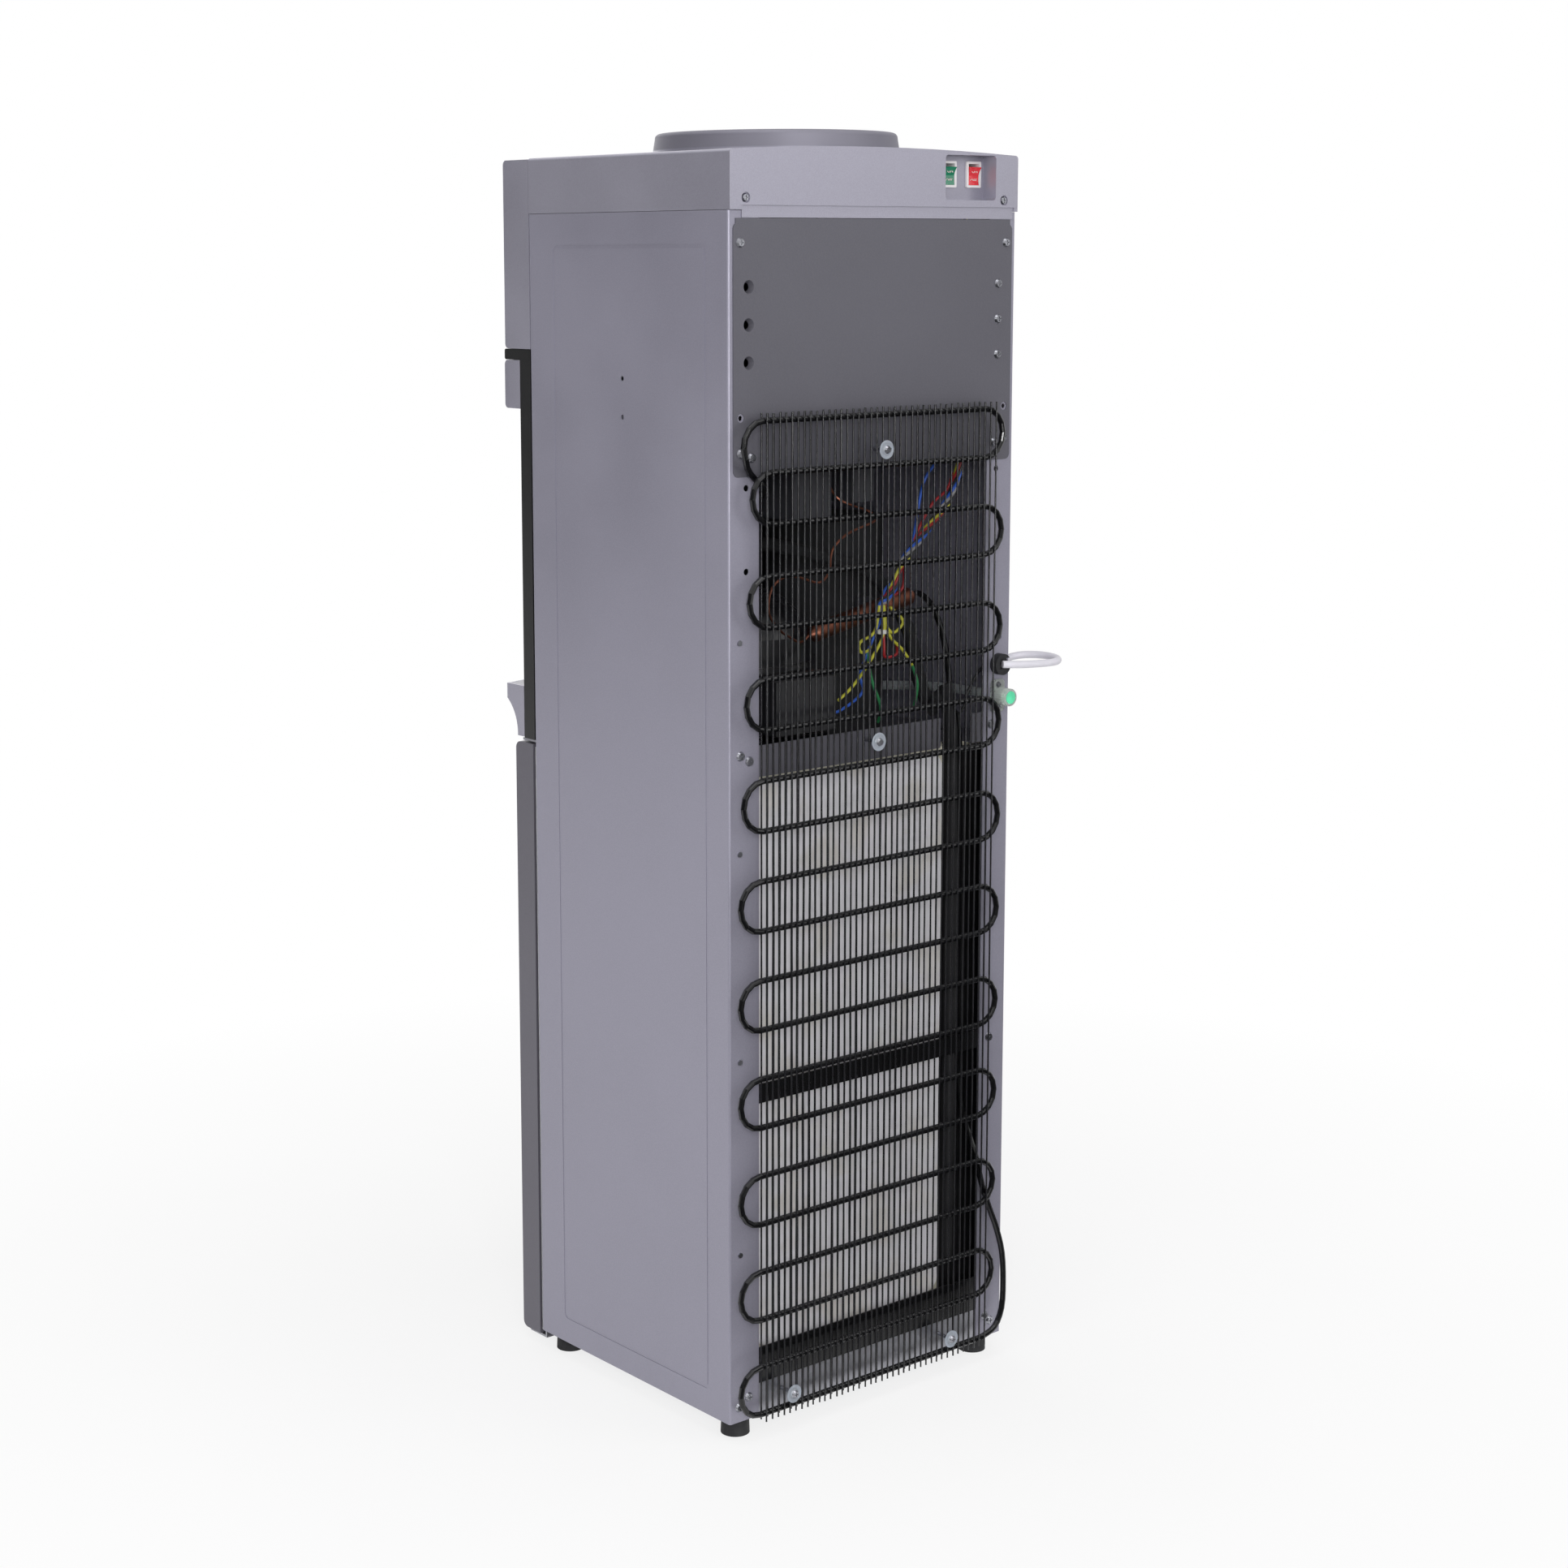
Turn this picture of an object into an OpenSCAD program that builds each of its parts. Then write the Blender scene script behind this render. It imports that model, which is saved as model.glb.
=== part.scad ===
// Floor standing water cooler with a bottle collar on top, a tap recess, a small refrigerated
// cabinet below and a wire condenser on the back.
// +Z is up, +Y points to the rear and the origin is on the floor under the middle.
// Inside the sub-parts y is measured from the rear sheet plane, so the front is negative.

/* [Cabinet] */
// Width over the side panels
body_w = 310; // [290:1:330]
// Depth of the side panels
side_d = 259; // [250:1:280]
// Thickness of the side sheets
sheet_t = 1; // [0.8:0.1:1.5]
// Bend radius of the side sheets
bend_r = 2; // [1.8:0.1:3]
// Width of the rear flange on the right side panel
flange_right = 31; // [22:1:34]
// Width of the rear flange on the left side panel
flange_left = 30; // [22:1:32]
// Width of the front flange on both side panels
flange_front = 14; // [10:1:16]
// Thickness of the inner sheet metal
plate_t = 1.2; // [0.8:0.1:1.6]

/* [Feet] */
// Height of a rubber foot
foot_h = 15.5; // [10:0.5:25]
// Radius of a foot at the floor
foot_r = 12; // [9:0.5:14]
// Distance of a foot's axis from the side
foot_in = 19; // [17:1:26]
// Distance of the rear feet from the rear plane
foot_rear = 16; // [16:1:30]
// Distance of the front feet from the front edge
foot_front = 16; // [16:1:30]

/* [Top cover] */
// Height of the cabinet between the recess panel and the top cover
upper_h = 112; // [100:1:130]
// Height of the top cover at its sides
cover_h = 45.5; // [44:0.5:56]
// Rise of the crowned top in the middle
crown = 4; // [1:0.5:8]
// Wall of the top cover
cover_wall = 2.5; // [1.5:0.5:3]
// Outer radius of the bottle collar at its foot
collar_r = 101.5; // [95:0.5:108]
// Height of the bottle collar above the crown
collar_h = 14.5; // [10:0.5:24]
// Radius of the collar's rounded edge
collar_edge = 4; // [2:0.5:5]
// Distance of the bottle's axis from the rear plane
collar_rear = 124; // [118:1:128]
// Width of the switch recess
pocket_w = 57.5; // [54:0.5:70]
// Height of the switch recess
pocket_h = 36; // [33:0.5:36.5]
// Depth of the switch recess
pocket_d = 13; // [8:1:20]
// Middle of the switch recess, from the cooler's middle
pocket_x = 100.75; // [90:0.25:104]

/* [Bottle seat] */
// Radius of the well for the bottle's neck
neck_r = 30; // [27:0.5:34]
// Wall of the bottle seat
seat_wall = 3; // [2:0.5:4]

/* [Switches] */
// Width of a switch bezel
bezel_w = 16.5; // [15:0.5:18]
// Height of a switch bezel
bezel_h = 21.2; // [20:0.1:24]
// Distance between the two switches
switch_gap = 28; // [22:1:32]
// Tilt of a rocker to either side
rocker_tilt = 12; // [8:1:14]

/* [Back] */
// Height of the upper back plate
back_plate_h = 200; // [180:1:220]
// Radius of the back plate's lower corners
back_plate_r = 5; // [4:1:18]
// Height of the screw row's first dimple below the cover
dimple_drop = 58.5; // [50:0.5:66]
// Pitch of the dimples
dimple_pitch = 29; // [24:0.5:34]

/* [Condenser] */
// Outer diameter of the condenser tube
tube_d = 5; // [4:0.5:6]
// Distance of the tube's axis from the rear plane
cond_y = 10; // [9:0.5:14]
// Number of horizontal runs
runs = 21; // [11:2:21]
// Mean space between the condenser's bends and the cooler's sides
cond_side = 12; // [11:0.5:20]
// Offset of the condenser to the right
cond_x = 7.4; // [0:0.1:8]
// Height of the lowest run above the sheet's lower edge
cond_low = 6; // [4:0.5:12]
// Diameter of a condenser wire
wire_d = 1.5; // [1:0.1:1.8]
// Height of the top run above the back plate's lower edge
run_rise = 43.5; // [39:0.5:47]
// How far the second bend on the right side stands in from the first
bend_in = 8.7; // [0:0.1:9]
// How far the lower bends on the right side stand out from the first
bend_out = 3.5; // [0:0.1:4]
// Number of wires in each layer
wires = 40; // [30:1:40]
// Length of a wire past the outermost runs
wire_over = 6; // [3:0.5:8]

/* [Recess and taps] */
// Space between the door and the recess panel
door_joint = 4; // [3:0.5:8]
// Height of the recess panel
recess_h = 332; // [320:1:350]
// Thickness of the recess panel's frame
frame_t = 15; // [12:1:18]
// Width of the alcove
alcove_w = 240; // [220:1:250]
// Depth of the alcove behind the frame
alcove_d = 59; // [45:1:62]
// Height of the lip above the tap fascia
lip_h = 9; // [6:1:14]
// Height of the tap fascia
fascia_h = 41; // [38:1:48]
// Reach of the fascia in front of the side panels at the sides
fascia_reach = 37; // [34:1:42]
// Bow of the front parts over the width
front_bow = 18; // [10:1:24]
// Wall of the moulded front parts
mould = 2.5; // [2:0.5:3]
// Reach of the upper front panel at the sides
upper_reach = 36; // [32:1:40]
// Distance between the two taps
tap_gap = 76; // [60:1:110]
// Radius of a tap's body
tap_r = 11; // [9:0.5:13]
// Radius of a tap's spout
spout_r = 7; // [6:0.5:8]

/* [Drip tray] */
// Height of the drip tray
tray_h = 44; // [38:1:52]
// Reach of the tray at the sides
tray_reach = 40; // [36:1:46]
// Bow of the tray's front
tray_bow = 20; // [10:1:26]
// Wall of the drip tray
tray_wall = 2.5; // [1.5:0.5:3]
// Thickness of the grille
grille_t = 3; // [2:0.5:4]
// Pitch of the grille's slots
slot_pitch = 8; // [7:0.5:12]

/* [Door] */
// Height of the door's lower edge
door_z = 11; // [10:0.5:13]
// Height of the door
door_h = 530; // [515:1:530]
// Reach of the door at the sides
door_reach = 28; // [26:1:32]
// Space between the door and the side panels
door_gap = 3; // [2.5:0.5:4]
// Radius of the door's upper and lower front edges
door_edge = 6; // [3:0.5:8]
// Radius of a hinge pin
pin_r = 3; // [2:0.25:3.5]
// Radial clearance of the pins in their bores
pin_play = 0.05; // [0.02:0.01:0.09]

/* [Refrigerated cabinet] */
// Width of the liner outside
liner_w = 248; // [220:1:256]
// Lower face of the liner
liner_z = 45; // [40:1:60]
// Space between the liner and the recess panel's lower edge
liner_roof = 25; // [20:1:60]
// Depth of the liner
liner_d = 217; // [180:1:225]
// Wall of the liner
liner_t = 2; // [1.5:0.5:3]
// Height of the shelf above the liner's floor
shelf_up = 210; // [120:5:260]
// Depth of a bottle bin in the door
bin_d = 48; // [40:1:52]
// Height of a bottle bin
bin_h = 52; // [40:1:70]

/* [Water system] */
// Radius of the cold tank
cold_r = 68; // [55:1:74]
// Height of the cold tank
cold_h = 118; // [90:1:120]
// Thickness of the cold tank's insulation
cold_foam = 22; // [14:1:24]
// Radius of the hot tank
hot_r = 42; // [32:1:46]
// Height of the hot tank
hot_h = 160; // [120:1:190]
// Thickness of the hot tank's jacket
hot_foam = 9; // [6:1:12]
// Radius of a water hose
hose_r = 4; // [3:0.5:5]

/* [Compressor] */
// Radius of the compressor's shell
comp_r = 60; // [50:1:62]
// Height of the compressor's shell
comp_h = 125; // [100:1:150]
// Height of its rubber mounts
comp_mount_h = 14; // [8:1:20]
// Radius of the filter drier
drier_r = 7.5; // [6:0.5:8]

/* [Drain] */
// Radius of the drain cap
cap_r = 7.6; // [7.2:0.1:9]
// Length of the drain cap
cap_l = 12.5; // [11:0.5:12.5]
// Distance between the drain's screws
drain_screws = 19; // [18:1:26]
// Pitch of the drain cap's thread
cap_pitch = 2.5; // [1.5:0.5:3]

/* [Mains cord] */
// Diameter of the cord
cord_d = 6.4; // [6:0.1:6.4]
// Radius of the cord's gland
gland_r = 9; // [8:0.5:10]

/* [Hidden] */
$fn = 48;
// Space between pieces that rest on each other
seat = 0.3;
// Half the width
half_w = body_w / 2;
// Front edge of the side panels
front_y = -side_d;
// Heights of the front parts, from the door up to the collar
door_top = door_z + door_h;
recess_z = door_top + door_joint;
upper_z = recess_z + recess_h;
cover_z = upper_z + upper_h;
cover_top = cover_z + cover_h;
cover_back = 2.2;
crown_top = cover_top + crown;
collar_top = crown_top + collar_h;
// Layers of the condenser
wire_off = tube_d / 2 + wire_d / 2 + 0.05;
wire_face = cond_y + wire_off + wire_d / 2;
washer_t = 1.6;
head_h = 1.8;
back_reach = wire_face + 0.05 + washer_t + head_h;
front_reach = side_d + tray_reach + tray_bow;
// Place of the rear plane, so that the whole cooler is centred on the origin
rear_y = (front_reach - back_reach) / 2;
// Condenser runs, counted from the top, and its wires, counted from the right
back_plate_z = cover_z - 4 - back_plate_h;
run_low = foot_h + cond_low;
run_top = back_plate_z + run_rise;
run_pitch = (run_top - run_low) / (runs - 1);
bend_step = 1.5;
bend_rad = run_pitch / 2;
cond_w = body_w - 2 * cond_side;
run_right = cond_x + cond_w / 2 - tube_d / 2 - bend_rad;
run_left = cond_x - cond_w / 2 + tube_d / 2 + bend_rad;
wire_x0 = run_right - 0.5;
wire_pitch = (run_right - run_left + 9) / (wires - 1);
// Gaps between the wires that the four fixing screws pass through, and their heights
shelf_top = recess_z + 3.2;
upstand_h = 24;
clip_gaps = [for (share = [0.49, 0.465, 0.12, 0.82]) floor(share * wires)];
clip_z = [back_plate_z + 15.5, shelf_top + 16, foot_h + 16.5, foot_h + 16.5];
// Recess
frame_y = front_y - frame_t;
alcove_z0 = recess_z + 6;
fascia_z = upper_z - lip_h - fascia_h;
alcove_z1 = fascia_z - 2;
alcove_back = front_y + alcove_d;
fascia_y = front_y - fascia_reach;
// Taps
tap_y = frame_y - 18;
barrel_z = fascia_z + 19;
paddle_y = frame_y + 6;
paddle_z = fascia_z - 9;
paddle_pin_r = 1.5;
ear_t = 3;
hub_w = 10;
// Tray
tray_z = recess_z + 1;
tray_top = tray_z + tray_h;
tub_w = alcove_w - 5;
tub_back = alcove_back - 4;
// Door, and its gasket, which stays beside the hinge's axis
door_back = front_y - door_gap;
hinge_x = half_w - 9;
hinge_y = door_back - 12.5;
bracket_t = 2;
pin_in = 14;
gasket_in = half_w - hinge_x + 0.5;
gasket_w = 13;
// Refrigerated cabinet and the duct beside its back panel
liner_h = recess_z - liner_roof - liner_z;
duct_x = 79.8 - half_w;
panel_x = duct_x - 9.6;
bin_half = liner_w / 2 - 19;
// Pocket in the top cover
pocket_z = cover_z + 9 + pocket_h / 2;
pocket_mid = -pocket_x;
switch_z = pocket_z + 3;
switch_x = [pocket_mid + 11.35, pocket_mid + 11.35 - switch_gap];
pivot_y = -pocket_d - 3.2;
rocker_pin_r = 1.2;
// Tanks and the hose column beside the hot tank
tank_y = -collar_rear;
tank_shelf_z = fascia_z + 2;
cold_z = tank_shelf_z + plate_t + seat;
hot_x = 95 - half_w;
hot_y = -132;
hot_out = hot_r + hot_foam + 0.5;
hose_column = [hot_x + 1.125 * hot_out, hot_y - 0.932 * hot_out];
// Well of the bottle seat, which ends in the cold tank's lid
bowl_z = collar_top - 26;
neck_low = cold_z + 14 + cold_h - 3;
// Compressor, the ends of the filter drier beside it, and the condenser's upper end
comp_x = half_w - 89;
comp_y = -92;
comp_top = shelf_top + comp_mount_h + comp_h;
drier_out = [comp_x - 20, comp_y + 69, comp_top - 34.7];
drier_in = [comp_x - 136, comp_y + 56, comp_top - 15.2];
hot_end = [half_w - 40, -14, run_top - 70.5];
// Screws and holes through the sheets, each with its x and z
screw_r = 1.7;
screw_hole = 1.9;
small_hole = 2;
sheet_hole = 2.6;
plate_in = 4.5;
plate_hole = 3.4;
right_screws = [[half_w - 12, shelf_top + 17.8], [half_w - 21, shelf_top + 12.8],
    [half_w - 10, foot_h + 12.5], [half_w - 20, foot_h + 19]];
right_small = [for (share = [0.663, 0.493, 0.3215, 0.159]) [half_w - 11, share * cover_z]];
right_holes = [[half_w - 18, back_plate_z - 8.7], [half_w - 18, back_plate_z - 73.9]];
left_screws = [[21 - half_w, shelf_top + 12.8], [19 - half_w, foot_h + 271.5], [19.5 - half_w, foot_h + 19],
    [13.5 - half_w, foot_h + 13.5]];
left_holes = [[19 - half_w, back_plate_z - 7.5], [12.5 - half_w, back_plate_z - 150]];
plate_screws = [for (s = [-1, 1]) each [[s * (half_w - 11.5), cover_z - 25],
    [s * (half_w - 12), back_plate_z + 18], [s * (half_w - 23), back_plate_z + 14.4]]];
plate_holes = [[half_w - 12, back_plate_z + 45.4], [11.7 - half_w, back_plate_z + 44.3]];
side_holes = [upper_z - 20, upper_z - 51];
// Gland of the cord and drain below it
gland_x = 14 - half_w;
gland_z = shelf_top + 63.8;
drain_x = 14.8 - half_w;
drain_z = shelf_top + 36.8;
cap_y = 4.2;
// Stamped frame on the side panels
stamp_in = 34;
stamp_w = 2.4;
stamp_deep = 0.35;

// Points of the cord's free stretch: from the gland, down beside the cooler and along the floor
cord_out = [
    [0, 5.9, 0], [-5.5, 8.4, -0.3], [-12, 9.8, -0.8], [-21, 10, -1.6], [-37, 10, -2.6], [-52, 10, -3.2],
    [-62.7, 7.9, -3.4], [-71.8, 1.8, -3.4], [-77.9, -7.3, -3.2], [-80, -18, -3], [-77.9, -28.7, -3],
    [-71.8, -37.8, -3.4], [-62.7, -43.9, -4.8], [-52, -46, -7.8], [-42.5, -46.6, -12.5],
    [-33.8, -47, -20.5], [-27.5, -47.4, -31], [-24.6, -47.8, -43], [-24, -48, -57]
];
cord_drop = [for (z = [gland_z - 87:-60:100]) [-24, -48, z]];
cord_floor = [
    [-24, -48, 48], [-24, -48.6, 30], [-24, -53, 17], [-24.2, -62.5, 7.5], [-25, -76, 3.7], [-30, -98, 3.5],
    [-46.5, -119, 3.5], [-69.5, -132.3, 3.5], [-93, -146, 3.5], [-109, -162, 3.5], [-114, -176, 3.5],
    [-115, -188, 3.5], [-115, -197.4, 3.5]
];
function from(base, points) = [for (p = points) base + p];
cord_route = concat(from([gland_x, 0, gland_z], cord_out),
    from([gland_x, 0, 0], concat(cord_drop, cord_floor)));

// Prism between the given corners
module box(x0, x1, y0, y1, z0, z1) translate([x0, y0, z0]) cube([x1 - x0, y1 - y0, z1 - z0]);

// Places of the three dimples on one side of the back plate, and the cone of an open one
dimple_r = 5.2;
dimple_low_r = 3.2;
dimple_deep = 3.6;
function dimples(side) = [for (i = [0:2]) [side * (half_w - 20), cover_z - dimple_drop - i * dimple_pitch]];

// Moves a drawing from the rear plane's frame to the cooler's frame
module at_rear() translate([0, rear_y, 0]) children();

// Prism along Y from a drawing in X and Z
module along_y(y0, y1) translate([0, y1, 0]) rotate([90, 0, 0]) linear_extrude(y1 - y0) children();

// Prism along X from a drawing in Y and Z
module along_x(x0, x1) translate([x0, 0, 0]) rotate([90, 0, 90]) linear_extrude(x1 - x0) children();

// Round bars along the three axes
module rod_x(y, z, r, x0, x1) translate([x0, y, z]) rotate([0, 90, 0]) cylinder(r = r, h = x1 - x0);
module rod_y(x, z, r, y0, y1) translate([x, y1, z]) rotate([90, 0, 0]) cylinder(r = r, h = y1 - y0);
module rod_z(x, y, r, z0, z1) translate([x, y, z0]) cylinder(r = r, h = z1 - z0);

// Rectangle with rounded corners between the given edges
module round_rect(x0, x1, z0, z1, r) {
    translate([x0 + r, z0]) square([x1 - x0 - 2 * r, z1 - z0]);
    translate([x0, z0 + r]) square([x1 - x0, z1 - z0 - 2 * r]);
    for (x = [x0 + r, x1 - r], z = [z0 + r, z1 - r]) translate([x, z]) circle(r);
}

// Drawing of a front face's section: x = 0 is the face, and both its edges are rounded
module face_section(deep, z0, z1, r) {
    translate([-deep, z0 + r]) square([deep, z1 - z0 - 2 * r]);
    translate([-deep, z0]) square([deep - r, z1 - z0]);
    for (z = [z0 + r, z1 - r]) translate([-r, z]) circle(r);
}

// Sweeps a section round the axis of a bowed front and cuts it at the sides and the back
module bowed(y_edge, bow, x_half, y_back, z0, z1) {
    arc = (half_w * half_w + bow * bow) / (2 * bow);
    intersection() {
        box(-x_half, x_half, y_edge - bow - 1, y_back, z0, z1);
        translate([0, y_edge - bow + arc, 0]) rotate_extrude($fn = 360) translate([arc, 0]) children();
    }
}

// Flat outline of a bowed part from its back edge to its bowed front
module bowed_plan(y_edge, bow, x_half, y_back, inset) {
    arc = (half_w * half_w + bow * bow) / (2 * bow);
    intersection() {
        translate([-x_half + inset, y_edge - bow - 1])
            square([2 * (x_half - inset), y_back - y_edge + bow + 1]);
        translate([0, y_edge - bow + arc]) circle(arc - inset, $fn = 360);
    }
}

// Screw along Y with its head outside, and its cross recess
module cross_screw(x, y, z, head_r, shaft) {
    difference() {
        union() {
            translate([x, y, z]) rotate([-90, 0, 0]) cylinder(r1 = head_r, r2 = head_r - 1, h = head_h);
            rod_y(x, z, screw_r, y - shaft, y);
        }
        box(x - head_r * 0.55, x + head_r * 0.55, y + head_h - 1, y + head_h + 1, z - 0.35, z + 0.35);
        box(x - 0.35, x + 0.35, y + head_h - 1, y + head_h + 1, z - head_r * 0.55, z + head_r * 0.55);
    }
}

// Cone along Y from the first radius to the second
module cone_y(p, r1, r2, y0, y1) translate([p[0], y0, p[1]]) rotate([-90, 0, 0])
    cylinder(r1 = r1, r2 = r2, h = y1 - y0);

// Holes along Y at a list of places
module holes_y(places, r, y0, y1) for (p = places) rod_y(p[0], p[1], r, y0, y1);

// Swept tube along a list of points
function unit(v) = v / norm(v);
function tangent(p, i) = unit(p[min(i + 1, len(p) - 1)] - p[max(i - 1, 0)]);
function first_side(t) = unit(cross(t, abs(t[2]) < 0.9 ? [0, 0, 1] : [1, 0, 0]));
function level(n, t) = unit(n - (n * t) * t);
function sides(p, i) = i == 0 ? [first_side(tangent(p, 0))]
    : let (before = sides(p, i - 1)) concat(before, [level(before[i - 1], tangent(p, i))]);
function ring(p, s, i, r, n) = [for (k = [0:n - 1])
    let (a = 360 * k / n) p[i] + r * (cos(a) * s[i] + sin(a) * cross(tangent(p, i), s[i]))];
function wall_faces(m, n) = [for (i = [0:m - 2], k = [0:n - 1])
    let (a = i * n + k, b = i * n + (k + 1) % n) each [[a, a + n, b], [b, a + n, b + n]]];
function end_faces(m, n) = [for (k = [1:n - 2])
    each [[0, k, k + 1], [(m - 1) * n, (m - 1) * n + k + 1, (m - 1) * n + k]]];
module tube(p, r, n) {
    s = sides(p, len(p) - 1);
    points = [for (i = [0:len(p) - 1]) each ring(p, s, i, r, n)];
    polyhedron(points, concat(wall_faces(len(p), n), end_faces(len(p), n)), convexity = 10);
}

// Smooth curve through a list of points, with n steps between each two
function between(a, b, c, d, t) = 0.5 * (2 * b + (c - a) * t + (2 * a - 5 * b + 4 * c - d) * t * t
    + (3 * b - a - 3 * c + d) * t * t * t);
function smooth(p, n) = concat([for (i = [0:len(p) - 2], k = [0:n - 1])
    between(p[max(i - 1, 0)], p[i], p[i + 1], p[min(i + 2, len(p) - 1)], k / n)], [p[len(p) - 1]]);

// Plan of a side panel on the right: a sheet with a rear and a front flange
module side_plan(rear_flange) {
    wide = flange_left + 20;
    intersection() {
        difference() {
            translate([half_w - wide / 2, -side_d / 2]) plan_ring(wide, side_d, bend_r);
            translate([half_w - wide / 2, -side_d / 2]) plan_ring(wide - 2 * sheet_t, side_d - 2 * sheet_t,
                bend_r - sheet_t);
        }
        union() {
            translate([half_w - rear_flange, -side_d / 2]) square([rear_flange + 1, side_d]);
            translate([half_w - flange_front, -side_d - 1]) square([flange_front + 1, side_d]);
        }
    }
}
module plan_ring(w, d, r) {
    square([w - 2 * r, d], center = true);
    square([w, d - 2 * r], center = true);
    for (x = [-1, 1], y = [-1, 1]) translate([x * (w / 2 - r), y * (d / 2 - r)]) circle(r);
}
module side_sheet(rear_flange) translate([0, 0, foot_h])
    linear_extrude(cover_z - seat - foot_h) side_plan(rear_flange);

module side_panel_right() color("#85838f") at_rear() difference() {
    side_sheet(flange_right);
    holes_y(dimples(1), dimple_r + 1.2, -3, 1);
    box(hinge_x - 12.3, hinge_x + 6.3, front_y - 1, front_y + 3, door_top + 0.9, door_top + 1.5 + bracket_t);
    holes_y(right_screws, screw_hole, -3, 1);
    holes_y(right_small, 1.2, -3, 1);
    holes_y(right_holes, sheet_hole, -3, 1);
    holes_y(plate_holes, small_hole, -3, 1);
    holes_y(plate_screws, screw_hole, -3, 1);
    for (z = side_holes) rod_x(-133, z, 2, half_w - 3, half_w + 1);
    stamp();
}

// Shallow stamped frame on the outside of a side panel
module stamp() along_x(half_w - stamp_deep, half_w + 1) difference() {
    round_rect(front_y + stamp_in, -stamp_in + 8, foot_h + 22, cover_z - 26, 5);
    round_rect(front_y + stamp_in + stamp_w, -stamp_in + 8 - stamp_w, foot_h + 22 + stamp_w,
        cover_z - 26 - stamp_w, 5 - stamp_w);
}

module side_panel_left() color("#85838f") at_rear() difference() {
    mirror([1, 0, 0]) side_sheet(flange_left);
    holes_y(dimples(-1), screw_hole, -3, 1);
    holes_y(left_screws, screw_hole, -3, 1);
    holes_y(left_holes, sheet_hole, -3, 1);
    holes_y(plate_holes, small_hole, -3, 1);
    holes_y(plate_screws, screw_hole, -3, 1);
    holes_y([[gland_x, gland_z]], gland_r - 2.7, -3, 1);
    holes_y([[drain_x, drain_z]], 7, -3, 1);
    holes_y([for (s = [-1, 1]) [drain_x, drain_z + s * drain_screws / 2]], screw_hole, -3, 1);
    for (z = side_holes) rod_x(-133, z, 2, -half_w - 1, 3 - half_w);
    mirror([1, 0, 0]) stamp();
}

module base_pan() color("#a3a2a8") at_rear() difference() {
    in = half_w - sheet_t - 0.6;
    union() {
        box(-in, in, front_y + 2, -sheet_t - 0.2, foot_h, foot_h + plate_t);
        box(-in, in, -sheet_t - 0.2 - plate_t, -sheet_t - 0.2, foot_h, foot_h + 27);
    }
    holes_y(right_screws, screw_hole, -4, 1);
    holes_y(left_screws, screw_hole, -4, 1);
    for (i = [2, 3]) rod_y(clip_x(i), clip_z[i], screw_hole, -4, 1);
}

module feet() color("#1e1e22") at_rear()
    for (x = [-1, 1], y = [-foot_rear, front_y + foot_front])
        translate([x * (half_w - foot_in), y, 0]) cylinder(r1 = foot_r, r2 = foot_r - 0.6, h = foot_h);

// Section of the top cover in X and Z, crowned, drawn smaller by the inset
module cover_section(inset) {
    r = 3;
    arc = ((half_w - r) * (half_w - r) + crown * crown) / (2 * crown);
    difference() {
        union() {
            translate([inset - half_w, cover_z - 1]) square([body_w - 2 * inset, cover_h + 1 - r]);
            translate([r - half_w, cover_z - 1]) square([body_w - 2 * r, cover_h + 1 - inset]);
            for (x = [-1, 1]) translate([x * (half_w - r), cover_top - r]) circle(r - inset);
            intersection() {
                translate([0, crown_top - arc]) circle(arc - inset, $fn = 720);
                translate([r - half_w, cover_top - inset - 1]) square([body_w - 2 * r, crown + 2]);
            }
        }
        translate([-half_w - 1, cover_z - 2]) square([body_w + 2, 2]);
    }
}

// Ring of the collar, with its outer edge rounded
module collar_section() {
    in = collar_r - collar_edge - 2;
    foot = crown_top - 3;
    out = collar_r - 1.5;
    polygon([[in, foot], [collar_r, foot], [collar_r, crown_top + 1], [out, collar_top - collar_edge],
        [out - collar_edge, collar_top - collar_edge], [out - collar_edge, collar_top], [in, collar_top]]);
    intersection() {
        translate([out - collar_edge, collar_top - collar_edge]) circle(collar_edge);
        translate([in, foot]) square([collar_edge * 3, collar_top]);
    }
}

// Space of the switch recess
module pocket(grow, open_y) {
    x0 = pocket_mid - pocket_w / 2 - grow;
    x1 = pocket_mid + pocket_w / 2 + grow;
    along_y(-pocket_d - grow, open_y)
        round_rect(x0, x1, pocket_z - pocket_h / 2 - grow, pocket_z + pocket_h / 2 + grow, 3 + grow);
}

module top_cover() color("#7b7983") at_rear() difference() {
    union() {
        difference() {
            along_y(front_y, cover_back) cover_section(0);
            difference() {
                along_y(front_y + cover_wall, cover_back - cover_wall)
                    translate([0, -1.1]) cover_section(cover_wall);
                pocket(2, 3);
            }
            translate([0, tank_y, cover_z]) cylinder(r = collar_r - 6, h = 80);
        }
        translate([0, tank_y, 0]) rotate_extrude($fn = 96) collar_section();
        box(5 - half_w, half_w - 13, seat, seat + 0.6, cover_z - 6, cover_z + 4);
    }
    pocket(0, 3);
    for (x = switch_x) along_y(-pocket_d - 3, 1 - pocket_d)
        round_rect(x - bezel_w / 2 + 1.3, x + bezel_w / 2 - 1.3, switch_z - bezel_h / 2 + 1,
            switch_z + bezel_h / 2 - 1, 1);
    box(-half_w + 4, half_w - 12, seat + 0.6, 3, cover_z - 1, cover_z + 3.4);
    for (x = [16 - half_w, half_w - 16]) {
        rod_y(x, cover_z + 9, 4.2, cover_back - 1.4, 3);
        rod_y(x, cover_z + 9, screw_hole, -4, 1);
    }
}

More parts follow.
